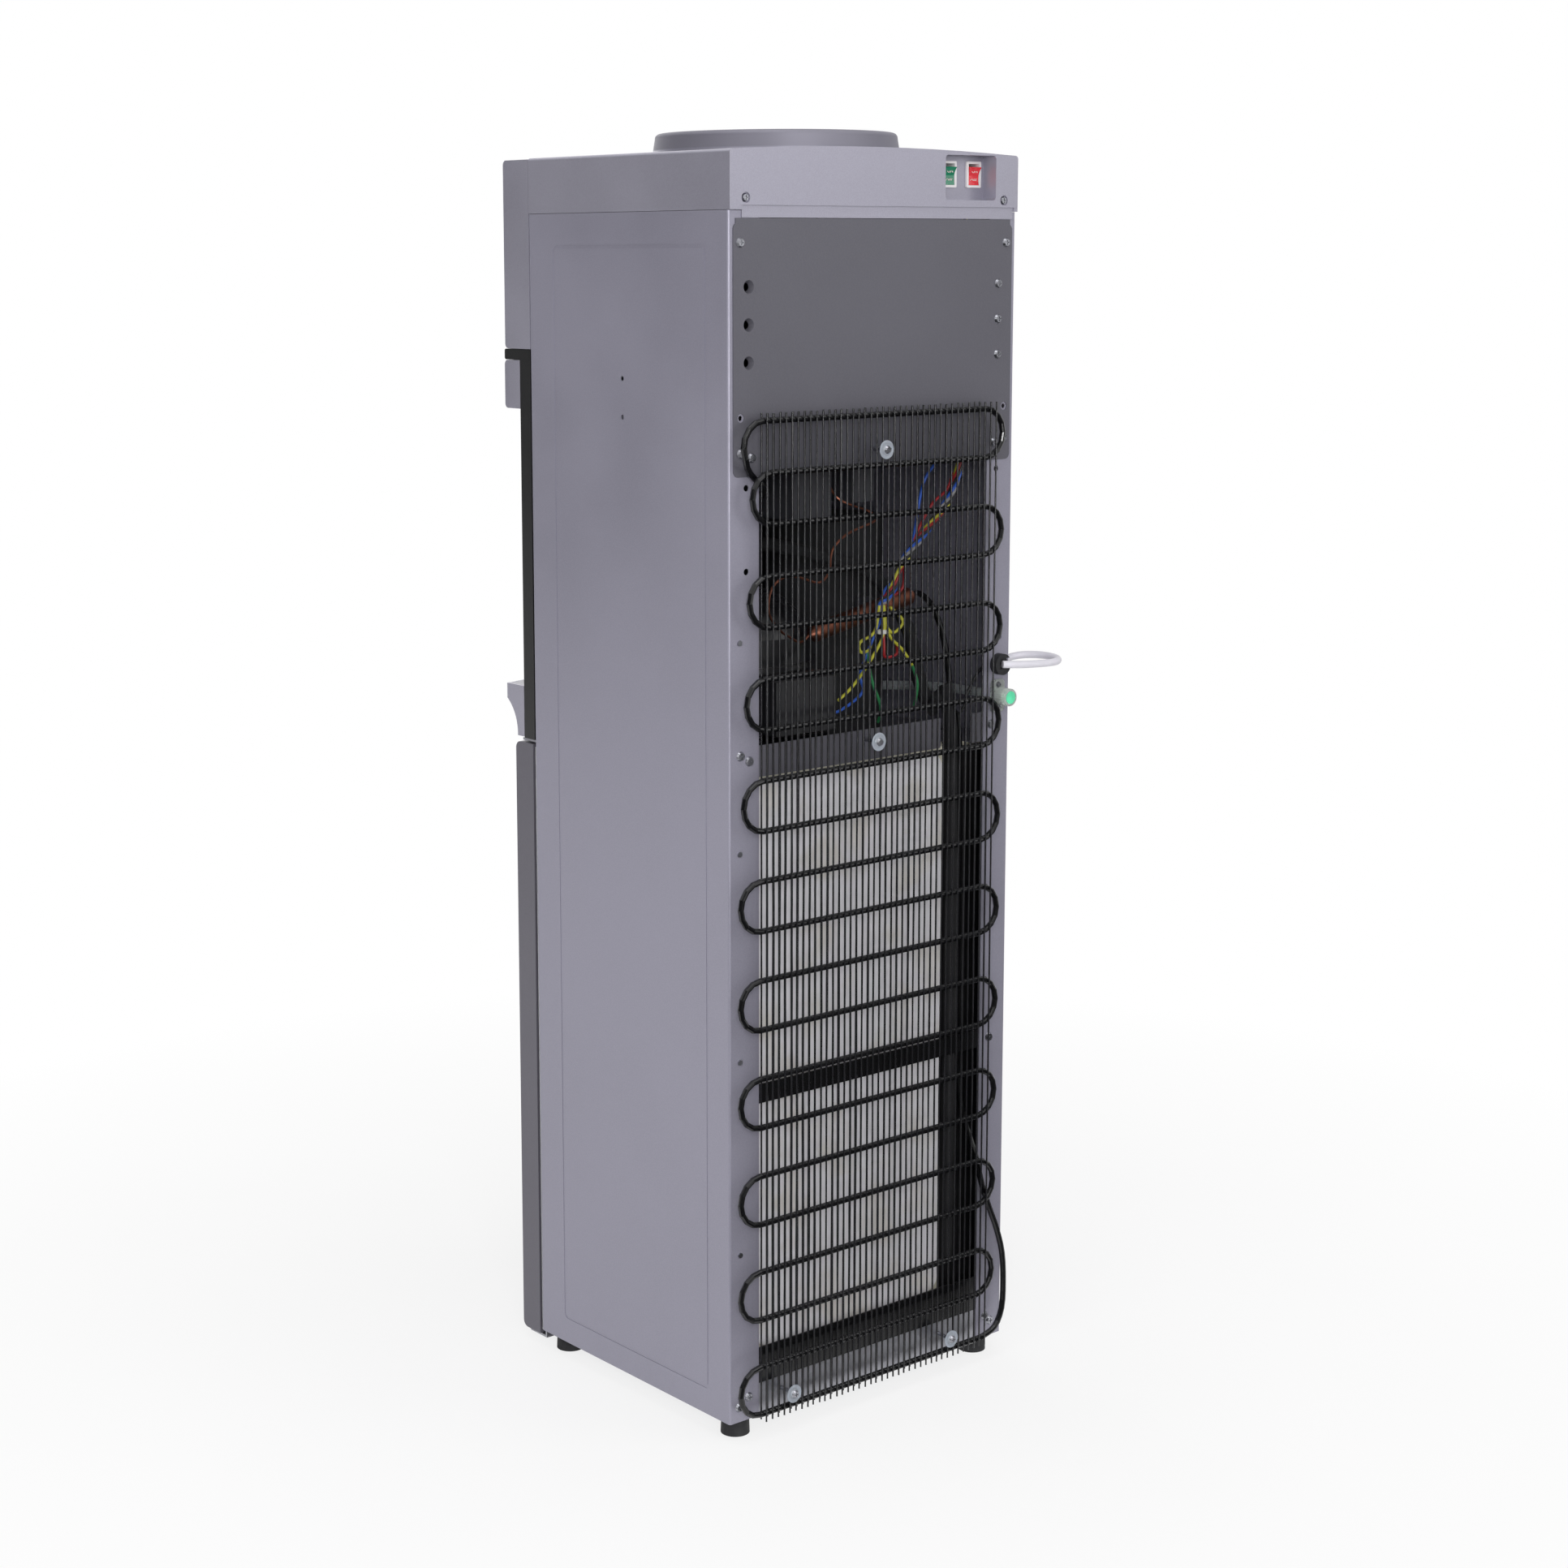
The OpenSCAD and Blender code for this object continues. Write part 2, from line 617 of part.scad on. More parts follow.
module bottle_seat() color("#dcdfe2") at_rear() translate([0, tank_y, 0]) {
    rim = collar_r - 6.3;
    rotate_extrude($fn = 96)
        polygon([[neck_r, neck_low], [neck_r + seat_wall, neck_low],
            [neck_r + seat_wall, bowl_z - seat_wall], [rim - 10, collar_top - 12], [rim, collar_top - 12],
            [rim, collar_top], [rim - seat_wall, collar_top], [rim - 12, collar_top - 8],
            [neck_r + 6, bowl_z], [neck_r, bowl_z]]);
}

module upper_back_plate() color("#5b5a61") at_rear() difference() {
    union() {
        along_y(0, 0.8) union() {
            round_rect(plate_in - half_w, half_w - plate_in, back_plate_z, cover_z - 10, back_plate_r);
            translate([7 - half_w, cover_z - 40]) square([body_w - 14, 33.6]);
        }
        for (p = dimples(1)) cone_y(p, dimple_low_r + 0.7, dimple_r + 0.7, -dimple_deep, 0.3);
    }
    for (p = dimples(1)) cone_y(p, dimple_low_r, dimple_r, -dimple_deep - 0.01, 0.81);
    holes_y(dimples(-1), screw_hole, -1, 2);
    holes_y(plate_screws, screw_hole, -1, 2);
    holes_y(plate_holes, plate_hole, -1, 2);
    rod_y(clip_x(0), clip_z[0], screw_hole, -1, 2);
}

// Shell of the upper front panel, open at its back and underside
module upper_front_panel() color("#75727c") at_rear() {
    deep = upper_reach + front_bow;
    y = front_y - upper_reach;
    back = front_y - seat;
    difference() {
        bowed(y, front_bow, half_w, back, upper_z + seat, cover_top)
            face_section(deep, upper_z + seat, cover_top - 1, 4);
        bowed(y, front_bow, half_w - mould, back + 1, upper_z - 1, cover_top - 1 - mould)
            translate([-deep - 1, upper_z - 1]) square([deep + 1 - mould, cover_top - mould - upper_z]);
        for (x = [-1:1]) light_hole(x * 16, 2.6);
    }
}
module light_hole(x, r)
    rod_y(x, upper_z + 100, r, front_y - upper_reach - front_bow - 2, front_y - upper_reach);

module indicator_lights() color("#c9302c") at_rear() for (i = [-1:1]) {
    y = front_y - upper_reach - front_bow + 0.4;
    rod_y(i * 16, upper_z + 100, 2.5, y, y + 6);
    rod_y(i * 16, upper_z + 100, 3.6, y + mould + 0.1, y + mould + 2);
}

module recess_panel() color("#17171a") at_rear() difference() {
    union() {
        box(-half_w, half_w, frame_y, front_y - seat, recess_z, upper_z);
        bowed(fascia_y, front_bow, half_w, front_y - seat, upper_z - lip_h, upper_z)
            face_section(fascia_reach + front_bow, upper_z - lip_h, upper_z, 2);
        box(-alcove_w / 2 - mould, alcove_w / 2 + mould, frame_y + 1, alcove_back + mould,
            alcove_z0 - mould, alcove_z1 + mould);
    }
    box(-alcove_w / 2, alcove_w / 2, frame_y - 1, alcove_back, alcove_z0, alcove_z1);
    box(mould - half_w, half_w - mould, frame_y + mould, front_y + 1, alcove_z1 + 2 * mould + 9,
        upper_z - mould);
    for (x = [-1, 1]) rod_y(x * tap_gap / 2, barrel_z, 8.3, frame_y - 1, front_y + 1);
}

module tap_fascia() color("#8b8992") at_rear() difference() {
    deep = fascia_reach + front_bow;
    bowed(fascia_y, front_bow, half_w, frame_y - seat, fascia_z, upper_z - lip_h - seat)
        face_section(deep, fascia_z, upper_z - lip_h - seat, 4);
    bowed(fascia_y, front_bow, half_w - mould, frame_y + 1, fascia_z + mould, upper_z - lip_h)
        translate([-deep - 1, fascia_z]) square([deep + 1 - mould, fascia_h]);
    for (x = [-1, 1]) {
        rod_z(x * tap_gap / 2, tap_y, tap_r + 0.3, fascia_z - 1, fascia_z + mould + 1);
        box(x * tap_gap / 2 - tap_r - 0.3, x * tap_gap / 2 + tap_r + 0.3, tap_y, frame_y + 1,
            fascia_z - 1, fascia_z + mould + 1);
    }
}

module tap_bodies() color("#2a2a2e") at_rear() for (s = [-1, 1]) translate([s * tap_gap / 2, 0, 0])
    tap_body();
module tap_body() difference() {
    ear_x = (hub_w + ear_t) / 2 + 0.3;
    union() {
        rod_z(0, tap_y, tap_r, fascia_z - 24, barrel_z + 12);
        rod_z(0, tap_y, spout_r, fascia_z - 42, fascia_z - 20);
        rod_y(0, barrel_z, 8, tap_y, front_y + 8);
        for (x = [-ear_x, ear_x])
            box(x - ear_t / 2, x + ear_t / 2, tap_y, paddle_y + 4, paddle_z - 4, paddle_z + 6.7);
        rod_x(paddle_y, paddle_z, paddle_pin_r, -hub_w / 2 - 1, hub_w / 2 + 1);
    }
    rod_z(0, tap_y, 4.5, fascia_z - 43, barrel_z);
    rod_y(0, barrel_z, 4, tap_y, front_y + 9);
}

// Paddle behind a tap's spout, drawn for the tap at x
module paddle(x) at_rear() translate([x, 0, 0]) {
    difference() {
        union() {
            rod_x(paddle_y, paddle_z, 4, -hub_w / 2, hub_w / 2);
            along_y(paddle_y - 1.6, paddle_y + 1.6)
                round_rect(-hub_w / 2, hub_w / 2, paddle_z - 62, paddle_z, 1);
            along_y(paddle_y - 1.6, paddle_y + 1.6)
                round_rect(-14, 14, paddle_z - 66, paddle_z - 26, 6);
        }
        rod_x(paddle_y, paddle_z, paddle_pin_r + pin_play, -hub_w, hub_w);
    }
}
module hot_paddle() color("#b3282d") paddle(-tap_gap / 2);
module cold_paddle() color("#2b62ac") paddle(tap_gap / 2);

module drip_tray() color("#8b8992") at_rear() {
    y = front_y - tray_reach;
    deep = tray_reach + tray_bow;
    difference() {
        union() {
            bowed(y, tray_bow, half_w, frame_y - seat, tray_z, tray_top) difference() {
                translate([-deep, tray_z]) square([deep, tray_h]);
                translate([22, tray_z + 2]) circle(36.5);
            }
            box(-tub_w / 2, tub_w / 2, frame_y - 1, tub_back, alcove_z0 + seat, tray_top);
        }
        translate([0, 0, tray_top - grille_t - 1]) linear_extrude(grille_t + 2) tray_plan(tray_wall);
        translate([0, 0, tray_top - 17]) linear_extrude(18) tray_plan(tray_wall + 3);
        box(-tub_w / 2 + 5.5, tub_w / 2 - 5.5, frame_y - 4, tub_back - 5.5, alcove_z0 + 3, tray_top);
    }
}
module tray_plan(inset) {
    bowed_plan(front_y - tray_reach, tray_bow, half_w, frame_y - seat - inset, inset);
    translate([-tub_w / 2 + inset, frame_y - 5 - inset]) square([tub_w - 2 * inset, tub_back - frame_y + 5]);
}

module drip_grille() color("#a5a3ab") at_rear() difference() {
    translate([0, 0, tray_top - grille_t]) linear_extrude(grille_t) tray_plan(tray_wall + seat);
    rows = floor((tub_back - frame_y - 10) / slot_pitch);
    for (i = [0:rows], c = [-1, 0, 1])
        box(c * 74 - 33, c * 74 + 33, frame_y + 2 + i * slot_pitch, frame_y + 5.5 + i * slot_pitch,
            tray_top - grille_t - 1, tray_top + 1);
    for (i = [0:1], c = [-1.5:1])
        box(c * 66 + 3, c * 66 + 63, frame_y - 16 - i * slot_pitch, frame_y - 12.5 - i * slot_pitch,
            tray_top - grille_t - 1, tray_top + 1);
}

module door_panel() color("#77757d") at_rear() {
    y = front_y - door_reach;
    deep = door_reach + front_bow;
    difference() {
        union() {
            difference() {
                bowed(y, front_bow, half_w, door_back, door_z, door_top)
                    face_section(deep, door_z, door_top, door_edge);
                bowed(y, front_bow, half_w - mould, door_back + 1, door_z + mould, door_top - mould)
                    translate([-mould, 0])
                        face_section(deep + 1, door_z + mould, door_top - mould, door_edge - mould);
            }
            for (z = [door_z + 1, door_top - pin_in - 3])
                box(hinge_x - 8, half_w - 0.2, hinge_y - 8, hinge_y + 9, z, z + pin_in + 2);
        }
        bowed(y, front_bow, half_w + 1, door_back + 2, door_z - 1, door_top + 1) translate([0, door_z - 1])
            square([20, door_h + 2]);
        rod_z(hinge_x, hinge_y, pin_r + pin_play, door_z - 1, door_z + pin_in);
        rod_z(hinge_x, hinge_y, pin_r + pin_play, door_top - pin_in, door_top + 1);
    }
}

module door_foam() color("#e8e0c4") at_rear() difference() {
    gap = mould + 0.3;
    bowed(front_y - door_reach, front_bow, half_w - gap, door_back - 2.6, door_z + gap, door_top - gap)
        translate([-gap, 0])
            face_section(door_reach + front_bow + 1, door_z + gap, door_top - gap, door_edge - mould);
    for (z = [door_z, door_top - pin_in - 4])
        box(hinge_x - 8.5, half_w, hinge_y - 9, hinge_y + 10, z, z + pin_in + 4);
}

// Inner face of the door with two bottle bins
module door_liner() color("#eceef0") at_rear() {
    in = mould + 0.2;
    difference() {
        box(in - half_w, half_w - in, door_back - 2.2, door_back, door_z + in, door_top - in);
        for (z = [door_z, door_top - pin_in - 4])
            box(hinge_x - 8.5, half_w, hinge_y - 9, hinge_y + 10, z, z + pin_in + 4);
    }
    for (z = [liner_z + 40, liner_z + shelf_up + 40]) difference() {
        box(-bin_half, bin_half, door_back - 1, door_back + bin_d, z, z + bin_h);
        box(2 - bin_half, bin_half - 2, door_back, door_back + bin_d - 2, z + 2, z + bin_h + 1);
        box(15 - bin_half, bin_half - 15, door_back + bin_d - 8, door_back + bin_d + 1,
            z + 30, z + bin_h + 1);
    }
}

module door_gasket() color("#8f9094") at_rear() along_y(door_back, front_y - seat) difference() {
    out = half_w - gasket_in;
    in = out - gasket_w;
    round_rect(-out, out, door_z + gasket_in, door_top - gasket_in, 4);
    round_rect(-in, in, door_z + gasket_in + gasket_w, door_top - gasket_in - gasket_w, 4);
}

module hinge_brackets() color("#9a9aa0") at_rear() {
    top = door_top + 1.2;
    box(hinge_x - 12, hinge_x + 6, hinge_y - 6, front_y + 20, top, top + bracket_t);
    rod_z(hinge_x, hinge_y, pin_r, door_top - pin_in + 2, top + 0.5);
    low = door_z - 1.2 - bracket_t;
    box(hinge_x - 12, hinge_x + 6, hinge_y - 6, front_y + 2.8, low, low + bracket_t);
    box(hinge_x - 12, hinge_x + 6, front_y + 0.8, front_y + 2.8, low, foot_h);
    rod_z(hinge_x, hinge_y, pin_r, low + 1, door_z + pin_in - 2);
}

module fridge_liner() color("#f0f1f2") at_rear() difference() {
    union() {
        box(-liner_w / 2, liner_w / 2, front_y, front_y + liner_d, liner_z, liner_z + liner_h);
        box(flange_front + 1 - half_w, half_w - flange_front - 1, front_y, front_y + liner_t,
            foot_h + 3, door_top - 4);
    }
    difference() {
        box(liner_t - liner_w / 2, liner_w / 2 - liner_t, front_y - 1, front_y + liner_d - liner_t,
            liner_z + liner_t, liner_z + liner_h - liner_t);
        for (x = [-1, 1], z = [100, shelf_up, 320]) box(x * (liner_w / 2 - 4) - 4, x * (liner_w / 2 - 4) + 4,
            front_y + 12, front_y + liner_d - 12, liner_z + z - 6, liner_z + z - 2);
    }
}

module fridge_foam() color("#e6dcb8") at_rear() difference() {
    in = half_w - sheet_t - seat;
    box(-in, in, front_y + liner_t + 0.2, -8, foot_h + plate_t + 0.2, shelf_top - plate_t - seat);
    box(-liner_w / 2 - 0.2, liner_w / 2 + 0.2, front_y, front_y + liner_d + 0.2, liner_z - 0.2,
        liner_z + liner_h + 0.2);
    box(-half_w, panel_x, -18, 0, 0, shelf_top);
    box(hinge_x - 13, half_w, front_y, front_y + 36, 0, foot_h + 8);
    box(hinge_x - 13, half_w, front_y, front_y + 22, door_top, shelf_top);
}

module fridge_back_panel() color("#c9c7cd") at_rear() along_y(-7.8, -6.8)
    round_rect(panel_x + 0.2, half_w - flange_right - 1, foot_h + 55, recess_z - 4, 14);

module duct_cover() color("#141416") at_rear()
    box(-half_w + sheet_t + 0.5, panel_x - 0.4, -17.8, -16.8, foot_h + plate_t + 0.3, recess_z - 3);

module rear_cross_bars() color("#141416") at_rear() difference() {
    x1 = half_w - sheet_t - 0.6;
    union() {
        box(-x1, x1, -sheet_t - 0.3 - plate_t, -sheet_t - 0.3, foot_h + 27.2, foot_h + 57.6);
        box(-x1, x1, -sheet_t - 0.3 - plate_t, -sheet_t - 0.3, foot_h + 264, foot_h + 280);
    }
    holes_y(left_screws, screw_hole, -4, 1);
}

// Wire shelf that lies on the liner's ribs
module fridge_shelf() color("#d7d8da") at_rear() {
    z = liner_z + shelf_up - 2 + seat + 2;
    x = liner_w / 2 - liner_t - 2;
    y0 = front_y + 16;
    y1 = front_y + liner_d - 16;
    for (s = [-1, 1]) rod_y(s * (x - 3), z, 2, y0, y1);
    for (y = [y0 + 4, y1 - 4]) rod_x(y, z, 2, 3 - x, x - 3);
    for (i = [-7:7]) rod_y(i * 13.5, z + 2.2, 1.2, y0, y1);
}

module evaporator_plate() color("#c4c6ca") at_rear() {
    y = front_y + liner_d - liner_t - 0.3;
    top = liner_z + liner_h - 35;
    half = liner_w / 2 - 24;
    along_y(y - 1.5, y) round_rect(-half, half, top - 170, top, 8);
    for (i = [0:5]) rod_x(y - 2, top - 15 - i * 28, 2, 15 - half, half - 15);
}

module machine_shelf() color("#6d6c73") at_rear() difference() {
    in = half_w - sheet_t - 0.6;
    union() {
        box(-in, in, front_y + sheet_t + seat, -sheet_t - 0.2, shelf_top - plate_t, shelf_top);
        box(-in, in, -sheet_t - 0.2 - plate_t, -sheet_t - 0.2, shelf_top - plate_t, shelf_top + upstand_h);
    }
    holes_y(right_screws, screw_hole, -4, 1);
    holes_y(left_screws, screw_hole, -4, 1);
    rod_y(clip_x(1), clip_z[1], screw_hole, -4, 1);
    box(duct_x - 37.8, duct_x - 0.8, -22, 0, recess_z - 2, shelf_top + upstand_h + 1);
    for (x = [-1, 1], y = [-1, 1]) rod_z(comp_x + x * 44, comp_y + y * 44, 4, shelf_top - 4, shelf_top + 1);
}

module tank_bracket() color("#8f9096") at_rear() difference() {
    in = half_w - sheet_t - 0.6;
    union() {
        box(-in, in, front_y + 2, -12, tank_shelf_z, tank_shelf_z + plate_t);
        for (s = [-1, 1]) box(s * in - (s + 1) / 2 * plate_t, s * in + (1 - s) / 2 * plate_t,
            front_y + 2, -12, tank_shelf_z - 16, tank_shelf_z + plate_t);
    }
    for (p = [[hot_x - 16, hot_y - 57], hose_column, [hot_end[0] - 101, -48]])
        rod_z(p[0], p[1], 7, tank_shelf_z - 1, tank_shelf_z + 3);
}

module cold_tank() color("#b9bcc0") at_rear() translate([0, tank_y, cold_z + 14]) difference() {
    cylinder(r = cold_r, h = cold_h);
    translate([0, 0, 1]) cylinder(r = cold_r - 1, h = cold_h - 2);
    translate([0, 0, cold_h - 3]) cylinder(r = neck_r + seat_wall + 1, h = 5);
}

module cold_tank_foam() color("#2b2b2f") at_rear() translate([0, tank_y, cold_z]) difference() {
    cylinder(r = cold_r + cold_foam, h = cold_h + 20);
    translate([0, 0, 13.7]) cylinder(r = cold_r + 0.2, h = cold_h + 10);
}

module hot_tank() color("#a9adb2") at_rear() translate([hot_x, hot_y, shelf_top + 16]) {
    cylinder(r = hot_r, h = hot_h);
    translate([0, 0, hot_h]) cylinder(r = 5, h = 16);
}

module hot_tank_jacket() color("#333338") at_rear() translate([hot_x, hot_y, shelf_top + seat]) difference() {
    cylinder(r = hot_r + hot_foam, h = hot_h + 26);
    translate([0, 0, 15.5]) cylinder(r = hot_r + 0.2, h = hot_h + 0.4);
    cylinder(r = 5.2, h = hot_h + 40);
}

module compressor() color("#17171a") at_rear() translate([comp_x, comp_y, shelf_top + comp_mount_h]) {
    dome = comp_r * 1.1;
    rotate_extrude() intersection() {
        square([comp_r, comp_h]);
        translate([0, dome]) circle(dome);
        translate([0, comp_h - dome]) circle(dome);
    }
    rod_z(0, 0, comp_r + 2.5, comp_h / 2 - 2, comp_h / 2 + 2);
    box(-comp_r * 0.85, comp_r * 0.85, -comp_r * 0.85, comp_r * 0.85, 0, 3);
    rod_z(-comp_r * 0.5, -comp_r * 0.4, 4, comp_h - 12, comp_h + 14);
    rod_z(comp_r * 0.5, -comp_r * 0.4, 3.2, comp_h - 12, comp_h + 14);
}

module compressor_mounts() color("#1e1e22") at_rear() for (x = [-1, 1], y = [-1, 1])
    translate([comp_x + x * 44, comp_y + y * 44, shelf_top]) {
        cylinder(r = 7, h = comp_mount_h);
        translate([0, 0, -plate_t]) cylinder(r = 3.8, h = 4);
    }

// Relay box with its spring clip on the compressor's side
module relay_cover() color("#1b1b1e") at_rear() {
    y = comp_y + comp_r + seat;
    z = shelf_top + comp_mount_h + 12;
    box(comp_x - 34, comp_x + 30, y, y + 20, z, z + 44);
    box(comp_x - 36, comp_x + 32, y + 4, y + 10, z + 43, z + 46);
}

// Drier between its two necks, which are drawn along its axis
module filter_drier() color("#b87650") at_rear() {
    along = drier_in - drier_out;
    flat = norm([along[0], along[1]]);
    translate(drier_out) rotate([0, atan2(flat, along[2]), atan2(along[1], along[0])]) {
        cylinder(r = drier_r, h = norm(along));
        translate([0, 0, -6]) cylinder(r1 = 2.4, r2 = drier_r, h = 6.01);
        translate([0, 0, norm(along) - 0.01]) cylinder(r1 = drier_r, r2 = 3.2, h = 6);
    }
}

// Thin tube from the drier, in loose bends, up to the cold tank
capillary_route = concat(from(drier_out, [[6.3, 0.7, -1.2], [12, 1.5, -4.5], [20, 4, -5], [32, 6, 0.5],
    [44, 8, 7.5], [56, 9, 22], [53, 9, 41], [39, 9, 49.5], [22, 8, 47.5], [2, 8, 42], [-9, 8, 50],
    [-12, 8, 67], [-28, 8, 79], [-56, 6, 86]]), from([hot_end[0] - 96, -48, tank_shelf_z],
    [[-38, 28, -87], [-32, 24, -81], [-15, 23, -75.5], [-2, 18, -68], [0, 8, -51], [0, 1, -32], [0, 0, -20],
    [0, 0, 1.1]]));
module capillary_tube() color("#b5714a") at_rear() tube(smooth(capillary_route, 3), 1, 8);

suction_route = concat(from([-half_w, -10, 0], [[59, 0, liner_z + 50], [59, 0, shelf_top + 11.8]]),
    from([-half_w, 0, shelf_top], [[68, -24, 26.8], [64, -44, 51.8], [67, -54, 91.8], [91, -56, 127.8]]),
    from([comp_x, comp_y, comp_top], [[-100, 32, 10.8], [-56, 7, 24.8], [-37, -16, 29.8], [-30, -24, 22.8],
    [-30, -24, 15.8]]));
module suction_line() color("#19191b") at_rear() tube(smooth(suction_route, 3), 6, 10);

// Line from the condenser's last run up to the drier
liquid_route = concat([[run_left - 0.4, cond_y, run_low], [run_left - 10, cond_y, run_low + 0.4]],
    from([-half_w, 0, run_low], [[17, cond_y, 5.5], [8, 9.5, 20.5], [6, 9, 44.5], [7, 8, 70.5],
    [12, 6, 92.5], [17, 4.6, 106.5], [24, 4.2, 123.5], [29.5, 3.9, 138.5], [31.5, 2.9, 148.5],
    [34, 1.8, 160.5], [37.5, -2, 176.5], [41, -6.5, 196.5], [45, -9.5, 223.5], [48, -10.5, 278.5]]),
    from([-half_w, 0, shelf_top], [[48, -10.5, -3.2], [48, -20, 26.8], [47, -26, 61.8], [49, -32, 91.8]]),
    from(drier_in, [[-28, -0.5, -10], [-16, -1.8, 0.5], [-6.4, -0.8, 1.1]]));
module liquid_line() color("#141416") at_rear() tube(smooth(liquid_route, 3), tube_d / 2 + 0.1, 10);

// Line from the compressor to the condenser's upper end
discharge_route = concat(from(hot_end, [[0, 0, -0.4], [0, 0, -13], [-1, -8, -26], [-6, -36, -36]]),
    from([comp_x, comp_y, comp_top], [[40, 7, 34], [32, -18, 30], [30, -24, 24], [30, -24, 15.4]]));
module discharge_line() color("#141416") at_rear() tube(smooth(discharge_route, 3), tube_d / 2 + 0.1, 10);

// x of the gap between two wires that a fixing screw passes through
function clip_x(i) = wire_x0 - wire_pitch * (clip_gaps[i] + 0.5);
function run_z(i) = run_top - i * run_pitch;
function bend_shift(i) = min(bend_out, bend_step * (i - 1) - bend_in);
function bend(x, z, side, step, first, last) = [for (k = [first:(first < last ? 1 : -1):last])
    [x + side * bend_rad * sin(step * k), cond_y, z + bend_rad * cos(step * k)]];
inlet = from(hot_end, [[0, 0, 0], [0, 0, 5], [0.8, 6, 9.5], [3, 13, 14.5], [5.5, 16.4, 18], [9, 17.1, 20.5],
    [13.5, 17.1, 23.5], [17.5, 17.6, 26.5], [22, 18.6, 30], [27, 21, 35]]);
condenser_path = concat(inlet, bend(run_right, run_top - bend_rad, 1, 23, 5, 0),
    [for (i = [0:runs - 2]) each bend(i % 2 == 0 ? run_left : run_right + bend_shift(i), run_z(i) - bend_rad,
        i % 2 == 0 ? -1 : 1, 22.5, 0, 8)], [[run_left, cond_y, run_low]]);

module condenser_tube() color("#141416") at_rear() tube(condenser_path, tube_d / 2, 12);

module condenser_wires() color("#26262a") at_rear()
    for (i = [0:wires - 1], s = [-1, 1])
        rod_z(wire_x0 - i * wire_pitch, cond_y + s * wire_off, wire_d / 2,
            run_low - wire_over, run_top + wire_over);

module condenser_washers() color("#c9ccd2") at_rear() for (i = [0:3]) difference() {
    rod_y(clip_x(i), clip_z[i], 7.5, wire_face + 0.05, wire_face + 0.05 + washer_t);
    rod_y(clip_x(i), clip_z[i], screw_hole, wire_face - 1, wire_face + 4);
}

module condenser_screws() color("#c9cacd") at_rear() for (i = [0:3])
    cross_screw(clip_x(i), wire_face + 0.05 + washer_t, clip_z[i], 3.4, wire_face + washer_t + 7);

module rear_screws() color("#c2c3c7") at_rear() {
    for (p = concat(right_screws, left_screws)) cross_screw(p[0], 0, p[1], 4, 6);
    for (p = right_small) small_screw(p[0], 0, p[1]);
    for (p = plate_screws) cross_screw(p[0], 0.8, p[1], 3.8, 6);
    for (x = [-1, 1]) cross_screw(x * (half_w - 16), cover_back - 1.4, cover_z + 9, 3.4, 8);
    for (p = dimples(-1)) cross_screw(p[0], 0.8, p[1], 3.8, 6);
    for (z = [-1, 1]) cross_screw(drain_x, 2, drain_z + z * drain_screws / 2, 2.6, 8);
}
module small_screw(x, y, z) {
    rod_y(x, z, 2.2, y, y + 1);
    rod_y(x, z, 1.1, y - 3, y + 0.5);
}

module switch_bezels() color("#dcd8da") at_rear() for (x = switch_x) difference() {
    union() {
        along_y(-pocket_d, 1.6 - pocket_d)
            round_rect(x - bezel_w / 2, x + bezel_w / 2, switch_z - bezel_h / 2, switch_z + bezel_h / 2, 1);
        along_y(-pocket_d - 15, 1 - pocket_d) round_rect(x - bezel_w / 2 + 1.5, x + bezel_w / 2 - 1.5,
            switch_z - bezel_h / 2 + 1.2, switch_z + bezel_h / 2 - 1.2, 0.6);
    }
    box(x - bezel_w / 2 + 2.2, x + bezel_w / 2 - 2.2, -pocket_d - 13.5, 3 - pocket_d,
        switch_z - bezel_h / 2 + 1.95, switch_z + bezel_h / 2 - 1.95);
    rod_x(pivot_y, switch_z, rocker_pin_r + pin_play, x - bezel_w / 2, x + bezel_w / 2);
}

// Rocker at x, drawn with its upper end out
module rocker(x) at_rear() translate([x, pivot_y, switch_z]) {
    half = bezel_w / 2 - 2.5;
    tall = bezel_h / 2 - 3.2;
    rotate([-rocker_tilt, 0, 0]) along_x(-half, half)
        polygon([[-5, -3.5], [-5, 3.5], [-1, tall - 0.6], [6.4, tall], [4.9, tall / 2], [4.2, 0],
            [4.9, -tall / 2], [6.4, -tall], [-1, 0.6 - tall]]);
    rod_x(0, 0, rocker_pin_r, -half - 0.6, half + 0.6);
}
module heat_rocker() color("#d8333b") rocker(switch_x[1]);
module cool_rocker() color("#22785a") rocker(switch_x[0]);

